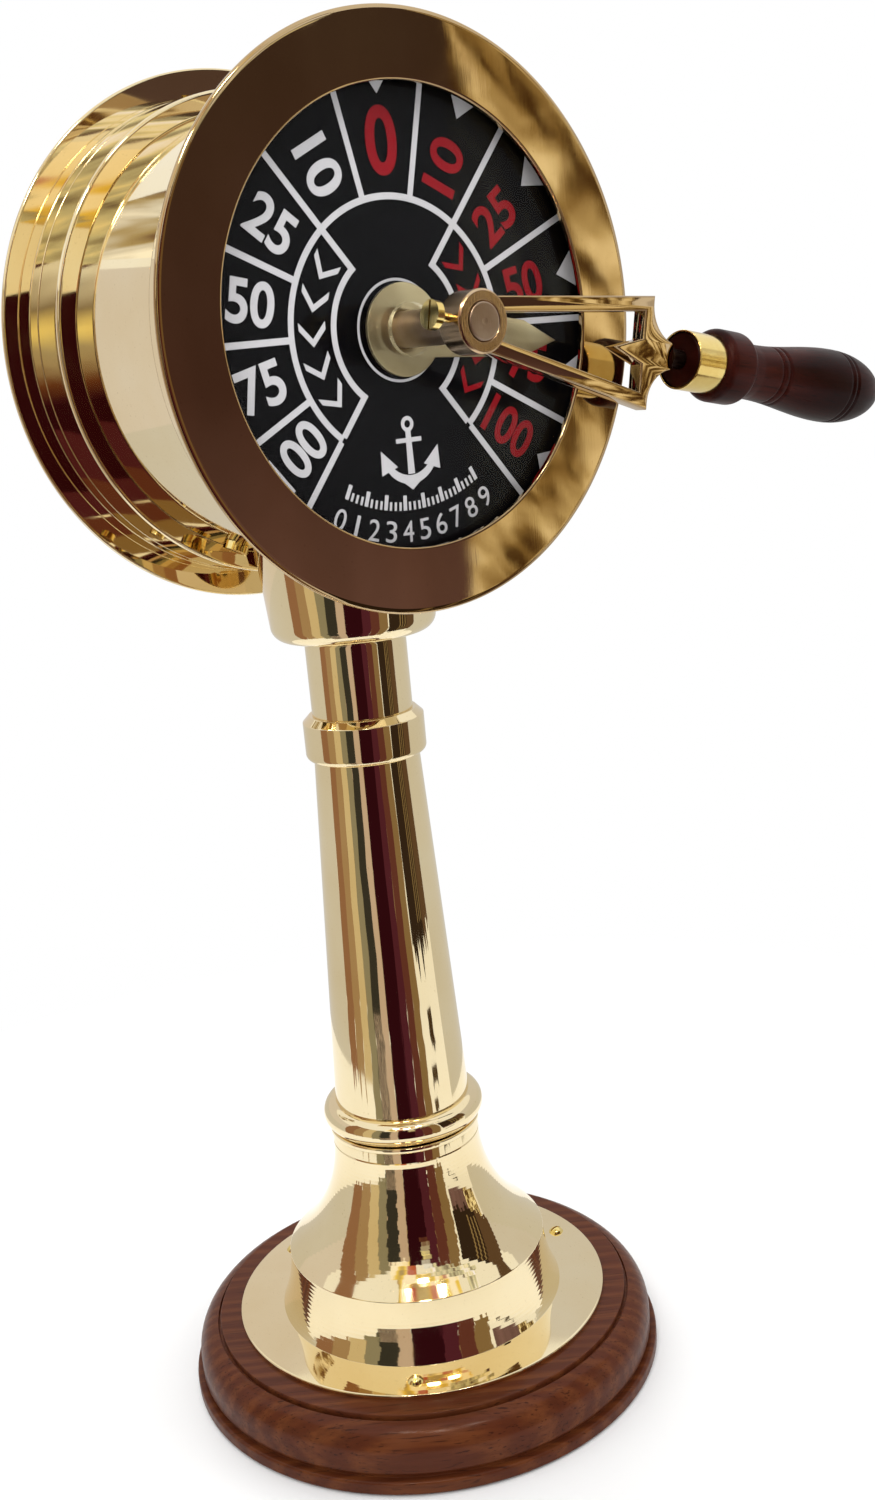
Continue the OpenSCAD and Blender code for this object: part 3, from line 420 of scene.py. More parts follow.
def softened(points, steps=5, support=0.3, mostRun=0.45, leastTan=0.05):
    # rounds each corner that has a third number, its radius,
    # and keeps long runs straight with a point near each end
    out = []
    for index, point in enumerate(points):
        corner = Vector(point[:2])
        if len(point) == 2:
            out.append(corner)
            continue
        toLast = Vector(points[index - 1][:2]) - corner
        toNext = Vector(points[(index + 1) % len(points)][:2]) - corner
        reach = point[2] / max(math.tan(toLast.angle(toNext) / 2), leastTan)
        start = corner + toLast.normalized() * min(reach, toLast.length * mostRun)
        end = corner + toNext.normalized() * min(reach, toNext.length * mostRun)
        for step in range(steps + 1):
            t = step / steps
            out.append(start * (1 - t) ** 2 + corner * 2 * t * (1 - t) + end * t ** 2)
    full = []
    for index, point in enumerate(out):
        after = out[(index + 1) % len(out)]
        full.append(point)
        run = (after - point).length
        if run > 6 * support:
            full += [point.lerp(after, support / run), point.lerp(after, 1 - support / run)]
    return full


def arc(centre, radius, start, end, steps):
    # points of a circle from one angle to another, in degrees
    angles = (math.radians(start + (end - start) * step / steps) for step in range(steps + 1))
    return [(centre[0] + radius * math.cos(a), centre[1] + radius * math.sin(a)) for a in angles]


def circle(centre, radius, count):
    return arc(centre, radius, 0, 360 - 360 / count, count - 1)


def finishPiece(name, mesh, material, body, replaced=(), sharpAngle=32):
    mesh.materials.clear()
    mesh.materials.append(material)
    for polygon in mesh.polygons:
        polygon.use_smooth = True
    mesh.set_sharp_from_angle(angle=math.radians(sharpAngle))
    piece = bpy.data.objects.new(name, mesh)
    scene.collection.objects.link(piece)
    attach(piece, body)
    if replaced:
        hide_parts(*replaced)


def placed(bm, mesh, place):
    bmesh.ops.transform(bm, matrix=Matrix.Scale(mm, 4) @ place, verts=bm.verts)
    bm.to_mesh(mesh)
    bm.free()
    return mesh


def turnedMesh(name, profile, place, segments, shape=None):
    # a closed profile of radius against height, turned about +Z and then put in place by a matrix
    bm = bmesh.new()
    rings = []
    for radius, height in map(Vector, profile):
        if radius < 1e-6:
            rings.append([bm.verts.new((0, 0, height))])
            continue
        ring = []
        for step in range(segments):
            a = 2 * math.pi * step / segments
            point = Vector((radius * math.cos(a), radius * math.sin(a), height))
            ring.append(bm.verts.new(shape(point) if shape else point))
        rings.append(ring)
    for lower, upper in zip(rings, rings[1:] + rings[:1]):
        if len(lower) == 1 and len(upper) == 1:
            continue
        for step in range(segments):
            after = (step + 1) % segments
            if len(lower) == 1:
                corners = (lower[0], upper[after], upper[step])
            elif len(upper) == 1:
                corners = (lower[step], lower[after], upper[0])
            else:
                corners = (lower[step], lower[after], upper[after], upper[step])
            bm.faces.new(corners)
    bmesh.ops.recalc_face_normals(bm, faces=bm.faces)
    return placed(bm, bpy.data.meshes.new(name), place)


upright = Matrix.Identity(4)
toFront = Matrix.Rotation(math.radians(90), 4, "X")  # +Z to the front, -Y
drumLow, drumHigh = boxMm("drum_shell")
drumR = (drumHigh.x - drumLow.x) / 2
drumZ = (drumHigh.z + drumLow.z) / 2
alongDrum = Matrix.Translation((0, 0, drumZ)) @ toFront
alongShaft = Matrix.Translation((0, 0, shaftZ)) @ toFront


def turnPiece(name, outline, replaced, place=upright, segments=144, slot="polished_brass", body="stand",
              material=None, steps=5):
    mesh = turnedMesh(name, softened(outline, steps), place, segments)
    finishPiece(name, mesh, material or finishes[slot], body, replaced)


# base, foot and column

baseShape = {
    "lipTop": 6.5, "grooveTop": 8.5, "grooveDeep": 4.0, "bullStep": 2.8, "bullR": 13.0, "bullSweep": 75,
    "bullSteps": 16, "topDrop": 1.5, "topEdge": 1.9, "topLand": 1.5, "slotWide": 1.1, "slotDeep": 3.2,
    "underside": 0.5, "feltTop": 1.5, "feltRim": 6.0, "fineRound": 0.3, "footRound": 1.0, "lipRound": 1.6,
    "wallRound": 0.9, "slotRound": 0.2, "topRound": 0.4,
}


def addBase(s):
    high = boxMm("wooden_base")[1]
    rim, top = high.x, high.z
    wall = rim - s.bullStep
    bullX = wall - s.bullR
    bullZ = top - s.topDrop - s.bullR
    edge, slotZ = bullX + s.topEdge, top - s.slotDeep
    recess, groove = rim - s.feltRim, rim - s.grooveDeep
    outline = [(0, s.feltTop), (recess, s.feltTop, s.fineRound), (recess, s.underside, s.fineRound),
               (rim, s.underside, s.footRound), (rim, s.lipTop, s.lipRound), (groove, s.lipTop, s.fineRound),
               (groove, s.grooveTop, s.fineRound), (wall, s.grooveTop, s.wallRound)]
    outline += arc((bullX, bullZ), s.bullR, 0, s.bullSweep, s.bullSteps)
    outline += [(edge + s.slotWide, slotZ, s.slotRound), (edge, slotZ, s.slotRound), (edge, top, s.topRound),
                (edge - s.topLand, top), (0, top)]
    turnPiece("turnedBase", outline, ["wooden_base"], slot="base_wood")


footShape = {
    "flangeR": 88.1, "flangeT": 2.0, "creaseR": 67.2, "edgeR": 61.1, "wallRise": 28.2, "wallHollow": 1.5,
    "hollowIn": 0.97, "hollowDown": 0.2, "wallSteps": 14, "slope": 0.9, "throatR": 34.5, "throatArc": 66.0,
    "throatTaper": 0.55, "flareSteps": 28, "insideSteps": 20, "wall": 4.0, "wallIn": 6, "seamUp": 0.2,
    "seamDeep": 0.3, "seamHalf": 0.4, "flangeRound": (0.3, 0.7), "creaseRound": 0.15, "edgeRound": 0.45,
    "throatRound": 0.2, "segments": 240,
}


def addFoot(s):
    low, high = boxMm("pedestal_foot")
    flangeTop = low.z + s.flangeT
    edgeZ = flangeTop + s.wallRise
    lean = math.atan(1 / s.slope)
    leanEnd = 180 + math.degrees(lean)
    throatZ = (edgeZ + s.slope * (s.edgeR - s.throatR)
               + s.throatArc * (math.sin(lean) - s.slope * (1 - math.cos(lean))))
    wall = []
    for step in range(s.wallSteps + 1):
        t = step / s.wallSteps
        hollow = s.wallHollow * (1 - (2 * t - 1) ** 2)
        wall.append((s.creaseR + (s.edgeR - s.creaseR) * t - hollow * s.hollowIn,
                     flangeTop + s.wallRise * t - hollow * s.hollowDown))
    wall[0] += (s.creaseRound,)
    wall[-1] += (s.edgeRound,)
    outline = [(s.flangeR, low.z, s.flangeRound[0]), (s.flangeR, flangeTop, s.flangeRound[1])] + wall
    centre = (s.throatR + s.throatArc, throatZ)
    outline += arc(centre, s.throatArc, leanEnd, 180, s.flareSteps)
    for up, deep in ((0, 0), (s.seamHalf, s.seamDeep), (2 * s.seamHalf, 0)):
        outline.append((s.throatR - deep, throatZ + (s.seamUp + up)))  # fine turned line above the flare
    outline += [(s.throatR - s.throatTaper, high.z, s.throatRound), (s.throatR - s.wall, high.z, s.throatRound)]
    outline += arc(centre, s.throatArc + s.wall, 180, leanEnd, s.insideSteps)
    outline += [(s.edgeR - s.wallIn, edgeZ - s.wallIn), (s.creaseR - s.wallIn, low.z)]
    turnPiece("trumpetFoot", outline, ["pedestal_foot"], segments=s.segments)


columnShape = {
    "ringR": 37.6, "ringBead": 6.2, "ringFootR": 35.2, "ringFootH": 2.4, "ringRound": (0.5, 0.8), "beadFrom": 3,
    "beadTo": 0.5, "beadSteps": 26, "lowR": 31.5, "topR": 23.7, "wall": 3.5, "endRound": 0.25,
    "bandR": 27.1, "bandRound": 3.0, "bandFrom": -80, "bandSteps": 9, "bandChamfer": 3.0, "bandEdge": (0.7, 0.5),
    "neckR": 22.5, "neckRound": 0.2, "neckCove": 2.0, "coveFrom": 172, "coveTo": 92, "coveSteps": 7,
}


def addColumn(s):
    low, high = boxMm("ring_moulding")
    bore = s.lowR - s.wall
    footTop = low.z + s.ringFootH
    beadX = s.ringR - s.ringBead
    sweep = math.degrees(math.acos((s.lowR - beadX) / s.ringBead))
    outline = [(bore, low.z), (s.ringFootR, low.z, s.ringRound[0]), (s.ringFootR, footTop, s.ringRound[1])]
    outline += arc((beadX, (footTop + high.z) / 2), s.ringBead, s.beadFrom - sweep, sweep - s.beadTo, s.beadSteps)
    outline += [(s.lowR, high.z), (bore, high.z)]
    turnPiece("beadRing", outline, ["ring_moulding"])

    low, high = boxMm("column_shaft")
    outline = [(bore, low.z), (s.lowR, low.z, s.endRound), (s.topR, high.z, s.endRound), (s.topR - s.wall, high.z)]
    turnPiece("taperedColumn", outline, ["column_shaft"])

    low, high = boxMm("collar_band")
    bore = s.neckR - s.wall
    edge = s.bandR - s.bandRound
    outline = [(bore, low.z), (edge, low.z)]
    outline += arc((edge, low.z + s.bandRound), s.bandRound, s.bandFrom, 0, s.bandSteps)
    outline += [(s.bandR, high.z - s.bandChamfer, s.bandEdge[0]),
                (s.bandR - s.bandChamfer, high.z, s.bandEdge[1]), (bore, high.z)]
    turnPiece("collarBand", outline, ["collar_band"])

    low, high = boxMm("neck_tube")
    coveX, coveZ = s.neckR + s.neckCove, high.z - s.neckCove
    outline = [(bore, low.z), (s.neckR, low.z, s.neckRound), (s.neckR, coveZ)]
    outline += arc((coveX, coveZ), s.neckCove, s.coveFrom, s.coveTo, s.coveSteps)
    outline += [(coveX, high.z), (bore, high.z)]
    turnPiece("neckTube", outline, ["neck_tube"])


saddleShape = {
    "boreR": 7.0, "lowR": 36.6, "topR": 39.8, "round": 7.0, "roundFrom": -88, "roundSteps": 10, "wall": 4.0,
    "sideAt": (0.1, 0.25, 0.4, 0.55, 0.7, 0.85, 1.0), "seatFit": 0.05, "caseR": 103.1, "caseBack": 37.2,
    "segments": 240, "sharp": 40,
}


def addSaddle(s):
    low, high = boxMm("saddle")
    sideZ = low.z + s.round
    rise = high.z - low.z - s.round
    floor = low.z + s.wall
    outline = [(s.boreR, low.z)] + arc((s.lowR - s.round, sideZ), s.round, s.roundFrom, 0, s.roundSteps)
    outline += [(s.lowR + (s.topR - s.lowR) * t, sideZ + rise * t) for t in s.sideAt]
    outline += [(s.topR - s.wall, high.z), (s.lowR - s.wall, floor), (s.boreR, floor)]

    def coped(point):
        # keeps the cup's rim under the drum and clear of the case rings
        across = min(abs(point.x), drumR - 1)
        radius = s.caseR if abs(point.y) > s.caseBack else drumR + s.seatFit
        point.z = min(point.z, drumZ - math.sqrt(radius ** 2 - across ** 2))
        return point

    mesh = turnedMesh("drumSaddle", outline, upright, s.segments, coped)
    finishPiece("drumSaddle", mesh, finishes["polished_brass"], "stand", ["saddle"], s.sharp)


build((addBase, baseShape), (addFoot, footShape), (addColumn, columnShape), (addSaddle, saddleShape))
print("base, foot and column turned")


# drum, case rings and bezels, turned about the drum's axis

drumShape = {
    "skin": 2.0, "caseR": 103.0, "seatR": 101.0, "caseEdge": 1.4, "caseDish": 0.6, "caseFit": 0.1, "caseFloor": 9.8,
    "jointL": 4.0, "jointRound": 0.5, "spigot": 1.0, "socket": 0.95, "bezelR": 115.0, "apertureR": 88.3,
    "bezelT": 2.5, "bezelEdge": 0.9, "bezelRim": 2.2, "bezelDish": 0.84, "fineRound": 0.3, "leastRound": 0.2,
    "segments": 192, "bezelSegments": 240,
}


def addDrum(s):
    inner = drumR - s.skin
    outline = [(inner, drumLow.y), (drumR, drumLow.y, s.fineRound), (drumR, drumHigh.y, s.fineRound),
               (inner, drumHigh.y)]
    turnPiece("drumSkin", outline, ["drum_shell"], alongDrum, s.segments)
    for side, sign in (("front", 1), ("rear", -1)):
        back, lip = sorted(abs(corner.y) for corner in boxMm(side + "_case_ring"))
        joint, floor = lip - s.jointL, back + s.caseFloor
        bore, spigotR = drumR + s.caseFit, s.caseR - s.spigot
        outline = [(bore, back + s.caseDish, s.leastRound), (s.caseR, back, s.caseEdge),
                   (s.caseR, joint, s.jointRound), (spigotR, joint), (spigotR, lip), (s.seatR, lip),
                   (s.seatR, floor), (bore, floor)]
        outline = [(radius, sign * along, *corner) for radius, along, *corner in outline]
        turnPiece(side + "CaseRing", outline, [side + "_case_ring"], alongDrum, s.segments)

        start, face = sorted(abs(corner.y) for corner in boxMm(side + "_bezel"))
        seat, step = face - s.bezelT, start + s.jointL
        socketR = s.caseR - s.socket
        outline = [(s.apertureR, face, s.bezelEdge), (s.bezelR, face, s.bezelRim), (s.bezelR, seat, s.bezelEdge),
                   (s.caseR, seat + s.bezelDish, s.fineRound), (s.caseR, start, s.fineRound), (socketR, start),
                   (socketR, step), (s.seatR, step), (s.seatR, seat), (s.apertureR, seat, s.leastRound)]
        outline = [(radius, sign * along, *corner) for radius, along, *corner in outline]
        node = side + "_bezel"
        turnPiece(side + "Bezel", outline, [node], alongDrum, s.bezelSegments, slotOf[node])


build((addDrum, drumShape))
print("drum and bezels turned")


# lever: fork, hub, ferrule and grip, in the lever's own frame with X along it

leverShape = {
    "angle": 101.3, "barT": 7.0, "barW": 6.0, "barRoot": 9.6, "half": 22.9, "length": 87.0, "crossW": 5.0,
    "braceFlat": 2.7, "neckReach": 13.0, "neckHalf": 5.5, "sweepSteps": 14, "indexL": 16.0, "indexHalf": 5.2,
    "edge": 0.75, "sharp": 50, "hubR": 12.0, "hubL": 13.0, "hubChamfer": 0.8, "hubBore": 7.25, "hubInner": 10.8,
    "hubRound": 0.3, "boreChamfer": 0.6, "boreRound": 0.2, "hubSegments": 96,
}
leverLow, leverHigh = boxMm("yoke")
leverY = (leverLow.y + leverHigh.y) / 2


def turnedBy(angle, y):
    # a place on the shaft's axis, with X at an angle from the top, clockwise
    return Matrix.Translation((0, y, shaftZ)) @ Matrix.Rotation(math.radians(angle - 90), 4, "Y")


onLever = turnedBy(leverShape["angle"], leverY)
flatOnLever = onLever @ toFront
aboutLever = onLever @ Matrix.Rotation(math.radians(90), 4, "Y")  # a turned shape's Z goes along the lever


def drawnMesh(curve):
    # a curve or text as a mesh and its bmesh, with the drawing removed
    drawn = bpy.data.objects.new(curve.name, curve)
    scene.collection.objects.link(drawn)
    bpy.context.view_layer.update()
    mesh = bpy.data.meshes.new_from_object(drawn.evaluated_get(bpy.context.evaluated_depsgraph_get()))
    bpy.data.objects.remove(drawn)
    bpy.data.curves.remove(curve)
    bm = bmesh.new()
    bm.from_mesh(mesh)
    return mesh, bm


weldGap = 0.0005  # mm


def cutMesh(name, loops, thickness, edge, place, rounds=3):
    # a flat shape with rounded edges, drawn by its outer loop and its holes
    curve = bpy.data.curves.new(name, "CURVE")
    curve.dimensions = "2D"
    curve.fill_mode = "BOTH"
    curve.extrude = thickness / 2 - edge
    curve.bevel_depth = edge
    curve.bevel_resolution = rounds
    curve.offset = -edge
    for loop in loops:
        spline = curve.splines.new("POLY")
        spline.points.add(len(loop) - 1)
        spline.use_cyclic_u = True
        for point, (x, y) in zip(spline.points, loop):
            point.co = (x, y, 0, 1)
    mesh, bm = drawnMesh(curve)
    bmesh.ops.remove_doubles(bm, verts=bm.verts, dist=weldGap)
    bmesh.ops.recalc_face_normals(bm, faces=bm.faces)
    mesh.name = name
    return placed(bm, mesh, place)


def addFork(s):
    out = s.length + s.crossW
    slope = (s.half - s.barRoot) / out
    rise = s.barW * math.sqrt(1 + slope ** 2)
    brace = s.half - s.braceFlat
    sweepRise = brace - s.neckHalf
    bend = (s.neckReach ** 2 + sweepRise ** 2) / (2 * s.neckReach)
    turn = math.degrees(math.asin(sweepRise / bend))
    upper = arc((out + bend, brace), bend, 180, 180 + turn, s.sweepSteps)  # from the bar's end down to the neck
    outer = [(0, -s.barRoot), (out, -s.half)]
    outer += [(x, -y) for x, y in upper] + upper[::-1]
    outer += [(out, s.half), (0, s.barRoot)]
    near, far = s.hubInner, s.length
    nearHalf, farHalf = (s.barRoot + slope * u - rise for u in (near, far))
    window = [(near, -nearHalf), (far, -farHalf), (far, -s.indexHalf), (far - s.indexL, 0), (far, s.indexHalf),
              (far, farHalf), (near, nearHalf)]
    mesh = cutMesh("leverFork", [outer, window], s.barT, s.edge, flatOnLever)
    finishPiece("leverFork", mesh, finishes["bronzed_brass"], "lever", ["yoke"], s.sharp)

    half, cut = s.hubL / 2, s.hubChamfer
    hub = [(s.hubBore, -half, s.boreRound), (s.hubR - cut, -half, s.hubRound), (s.hubR, cut - half, s.hubRound),
           (s.hubR, half - cut, s.hubRound), (s.hubR - cut, half, s.hubRound),
           (s.hubBore + s.boreChamfer, half, s.boreRound), (s.hubBore, half - s.boreChamfer, s.boreRound)]
    turnPiece("leverHub", hub, (), flatOnLever, s.hubSegments, "bronzed_brass", "lever", hubBrass, 4)


handleShape = {
    "neckEnd": 105.0, "gap": 7.3, "ferruleR": 12.3, "ferruleT": 0.7, "ferruleL": 16.5, "ferruleRound": (0.15, 0.3),
    "coreFit": 0.05, "coreBack": 0.2, "coreChamfer": 1.0, "knobR": 15.4, "knobL": 18.0, "knobRound": 4.0,
    "knobSweep": 78, "knobSteps": (10, 9), "waistR": 11.7, "waistL": 7.0, "waistFlare": 0.8,
    "flareFoot": (0.9, 0.3), "curveFrom": 0.5, "bellyR": 16.2, "bellyL": 54.0, "noseL": 33.0, "curveSteps": 150,
    "turnD": 0.6, "turnHalf": 0.75, "bellyTurns": (0.22, 0.29), "noseTurns": (1, 4.5), "segments": 96, "sharp": 40,
}


def addHandle(s):
    start = s.neckEnd + s.gap
    ferruleEnd = start + s.ferruleL
    knobEnd = ferruleEnd + s.knobL
    waist = knobEnd + s.waistL
    belly = waist + s.bellyL
    end = belly + s.noseL
    inner = s.ferruleR - s.ferruleT
    tube = [(inner, start, s.ferruleRound[0]), (s.ferruleR, start, s.ferruleRound[1]),
            (s.ferruleR, ferruleEnd, s.ferruleRound[1]), (inner, ferruleEnd)]
    turnPiece("gripFerrule", tube, ["ferrule"], aboutLever, s.segments, "polished_brass", "lever", brightBrass, 4)

    def radiusAt(u):
        if u < waist:
            return s.waistR + s.waistFlare * (1 - (u - knobEnd) / s.waistL)
        if u < belly:
            t = (u - waist) / s.bellyL
            return s.waistR + (s.bellyR - s.waistR) * (1 - math.cos(math.pi * t)) / 2
        return s.bellyR * math.sqrt(max(0, 1 - ((u - belly) / s.noseL) ** 2))

    grooves = [waist + s.bellyL * share for share in s.bellyTurns] + [belly + past for past in s.noseTurns]
    core, coreStart = inner - s.coreFit, start + s.coreBack
    edge = s.knobR - s.knobRound
    outline = [(0, coreStart), (core - s.coreChamfer, coreStart), (core, coreStart + s.coreChamfer),
               (core, ferruleEnd), (edge, ferruleEnd)]
    outline += arc((edge, ferruleEnd + s.knobRound), s.knobRound, -90, 0, s.knobSteps[0])
    outline += arc((edge, knobEnd - s.knobRound), s.knobRound, 0, s.knobSweep, s.knobSteps[1])
    outline.append((s.waistR + s.flareFoot[0], knobEnd + s.flareFoot[1]))
    curveStart = knobEnd + s.curveFrom
    for step in range(1, s.curveSteps):
        u = curveStart + (end - curveStart) * math.sin(step / s.curveSteps * math.pi / 2)
        depth = max(s.turnD * max(0, 1 - ((u - groove) / s.turnHalf) ** 2) for groove in grooves)
        outline.append((radiusAt(u) - depth, u))
    outline.append((0, end))
    mesh = turnedMesh("turnedGrip", outline, aboutLever, s.segments)
    finishPiece("turnedGrip", mesh, finishes["grip_wood"], "lever", ["grip"], s.sharp)


pointerShape = {
    "lag": 4.5, "discR": 18.3, "discSteps": 72, "length": 80.4, "root": 10.9, "half": 7.3, "tip": 18.0, "edge": 0.3,
    "bore": 7.25, "boreCount": 48, "rounds": 2, "sharp": 50,
}


def addPointer(s):
    low, high = boxMm("pointer")
    neck = s.length - s.tip
    slope = (s.half - s.root) / neck
    a, b, c = 1 + slope ** 2, 2 * slope * s.root, s.root ** 2 - s.discR ** 2
    crossU = (-b + math.sqrt(b * b - 4 * a * c)) / (2 * a)  # where the blade's sides leave the disc's edge
    crossA = math.degrees(math.acos(crossU / s.discR))
    outer = arc((0, 0), s.discR, crossA, 360 - crossA, s.discSteps)
    outer += [(neck, -s.half), (s.length, 0), (neck, s.half)]
    place = turnedBy(leverShape["angle"] - s.lag, (low.y + high.y) / 2) @ toFront
    loops = [outer, circle((0, 0), s.bore, s.boreCount)]
    mesh = cutMesh("dialPointer", loops, high.y - low.y, s.edge, place, s.rounds)
    finishPiece("dialPointer", mesh, finishes["satin_brass"], "lever", ["pointer"], s.sharp)


shaftShape = {"dimpleR": 1.2, "dimpleDeep": 0.3, "endRound": 0.7, "segments": 72}


def addShaft(s):
    low, high = boxMm("main_shaft")
    radius = (high.x - low.x) / 2
    front, back = -low.y, -high.y
    outline = [(0, front - s.dimpleDeep), (s.dimpleR, front), (radius, front, s.endRound),
               (radius, back, s.endRound), (0, back)]
    turnPiece("leverShaft", outline, ["main_shaft"], alongShaft, s.segments, "bronzed_brass", "lever", roseBrass, 4)


build((addFork, leverShape), (addHandle, handleShape), (addPointer, pointerShape), (addShaft, shaftShape))
print("lever, pointer and shaft shaped")


# printed marks of the dial, thin plates just in front of the black disc

dialShape = {
    "print": 0.16, "printEdge": 0.03, "printGap": 0.02, "lift": 0.004, "lifts": 8, "sharp": 30,
    "stroke": 2.6, "overlap": 0.2, "rim": 99.0, "outerArc": 51.0, "innerArc": 31.3,
    "hubRing": 19.6, "hubStroke": 1.1, "hubCount": 72,
    "lines": (13, 39.2, 65.6, 90.5, 117.3, 141), "longLines": (39.2, 141),
    "triangles": (0, 26, 52.7, 78.5, 104, 129.4), "triangleTip": 88.6, "triangleHalf": 4.4,
    "numbers": ((26, "10"), (52.5, "25"), (78, "50"), (104, "75"), (129, "100")),
    "numberAt": 69.0, "numberTall": 17.0, "numberWide": {2: 21.0, 3: 27.0}, "numberWeight": 0.022,
    "stopAt": 71.5, "stopTall": 26.0, "stopWide": 15.0,
}
dialFace = boxMm("dial_plate")[0].y
printY = dialFace - dialShape["print"] / 2 - dialShape["printGap"]
onDial = Matrix.Translation((0, printY, shaftZ)) @ toFront  # drawing X to the right, Y up


def polar(angle, radius):
    # angle from the top, clockwise
    a = math.radians(angle)
    return (radius * math.sin(a), radius * math.cos(a))


def sectorLoop(fromAngle, toAngle, radius, stroke):
    steps = int(abs(toAngle - fromAngle) / 2)  # a point about every 2 degrees
    angles = [fromAngle + (toAngle - fromAngle) * step / steps for step in range(steps + 1)]
    outer = [polar(a, radius + stroke / 2) for a in angles]
    return outer + [polar(a, radius - stroke / 2) for a in reversed(angles)]


def radialBar(angle, inner, outer, width):
    out = Vector(polar(angle, 1))
    side = Vector((out.y, -out.x)) * width / 2
    return [tuple(out * inner - side), tuple(out * inner + side), tuple(out * outer + side),
            tuple(out * outer - side)]


def printMeshes(name, meshes, material):
    bm = bmesh.new()
    for mesh in meshes:
        bm.from_mesh(mesh)
        bpy.data.meshes.remove(mesh)
    joined = bpy.data.meshes.new(name)
    bm.to_mesh(joined)
    bm.free()
    finishPiece(name, joined, material, "stand", (), dialShape["sharp"])


def printLoops(name, loops, material):
    s = SimpleNamespace(**dialShape)
    meshes = []
    for index, group in enumerate(loops):
        lift = Matrix.Translation((0, 0, s.lift * (index % s.lifts)))  # keeps crossing strokes off one plane
        meshes.append(cutMesh(name + "Cut", group, s.print, s.printEdge, onDial @ lift, 0))
    printMeshes(name, meshes, material)


def rimReach(angle, rim, step=0.2):
    # how far a line goes from the shaft inside the bezel's window, which is about the drum's axis
    end = rim
    while True:
        x, y = polar(angle, end)
        if Vector((x, y + shaftZ - drumZ)).length <= rim:
            return end
        end -= step


def addLines(s):
    half = s.stroke / 2
    first, last = s.longLines
    loops = [[sectorLoop(-last, last, s.outerArc, s.stroke)]]
    for side in (-1, 1):
        for angle in s.lines:
            bars = [(s.outerArc + half - s.overlap, rimReach(angle * side, s.rim))]
            if angle in s.longLines:
                bars.insert(0, (s.innerArc - half, s.outerArc - half + s.overlap))
            loops += [[radialBar(angle * side, inner, outer, s.stroke)] for inner, outer in bars]
        loops.append([sectorLoop(first * side, last * side, s.innerArc, s.stroke)])
    loops.append([circle((0, 0), s.hubRing + part * s.hubStroke / 2, s.hubCount) for part in (1, -1)])
    printLoops("dialLines", loops, whitePaint)
    marks = []
    for angle in s.triangles:
        for at in ((0,) if angle == 0 else (-angle, angle)):
            end = rimReach(at, s.rim)
            marks.append([[polar(at, s.triangleTip), polar(at + s.triangleHalf, end),
                           polar(at - s.triangleHalf, end)]])
    printLoops("dialEdgeMarks", marks, whitePaint)


def numeralMesh(text, tall, wide, place, weight):
    curve = bpy.data.curves.new("numeral", "FONT")
    curve.body = text
    curve.align_x = "CENTER"
    curve.align_y = "CENTER"
    curve.size = 1.0
    curve.offset = weight
    curve.extrude = dialShape["print"] / 2
    mesh, bm = drawnMesh(curve)
    for axis, size in ((0, wide), (1, tall)):
        reach = [v.co[axis] for v in bm.verts]
        low, high = min(reach), max(reach)
        for v in bm.verts:
            v.co[axis] = (v.co[axis] - (high + low) / 2) * (size / (high - low))
    bmesh.ops.remove_doubles(bm, verts=bm.verts, dist=weldGap)
    return placed(bm, mesh, place)


def onFace(angle, radius, turn):
    x, y = polar(angle, radius)
    return onDial @ Matrix.Translation((x, y, 0)) @ Matrix.Rotation(math.radians(turn), 4, "Z")


def addNumbers(s):
    white, red = [], [numeralMesh("0", s.stopTall, s.stopWide, onFace(0, s.stopAt, 0), s.numberWeight)]
    for angle, text in s.numbers:
        for meshes, side in ((white, -1), (red, 1)):
            place = onFace(angle * side, s.numberAt, side * (90 - angle))
            meshes.append(numeralMesh(text, s.numberTall, s.numberWide[len(text)], place, s.numberWeight))
    printMeshes("dialNumbersWhite", white, whitePaint)
    printMeshes("dialNumbersRed", red, redPaint)


chevronShape = {
    "angles": (54, 72, 90, 108, 126), "radius": 41.2, "reach": 6.2, "rise": 3.68, "drop": 2.76, "stroke": 3.0,
}


def addChevrons(s):
    for side, material, name in ((-1, whitePaint, "White"), (1, redPaint, "Red")):
        loops = []
        for angle in s.angles:
            centre = Vector(polar(angle * side, s.radius))
            out = centre.normalized()
            up = Vector((-out.y, out.x)) * -side  # towards the top of the dial on either side
            point, wing, drop, thick = up * s.rise, out * s.reach, -up * s.drop, up * s.stroke
            loops.append([[tuple(centre + p) for p in (point, wing + drop, wing + drop - thick, point - thick,
                                                       drop - wing - thick, drop - wing)]])
        printLoops("dialChevrons" + name, loops, material)


anchorShape = {
    "ringAt": -36.6, "ringR": 3.1, "ringHole": 1.5, "ringCount": 36, "shank": 1.7, "shankTop": 1.275,
    "shankDrop": 2.6, "shankUp": 4, "stockAt": -43.0, "stockHalf": 6.4, "stockT": 0.9, "foot": -60.5, "crown": 2.4,
    "armR": 14.5, "armThick": 1.76, "armOuter": (205, 254), "armInner": (332, 208), "armSteps": (14, 30),
    "flukeIn": 1.4, "fluke": ((-5.2, -1.6), (2.6, 5.4), (3.0, -4.4)),
}


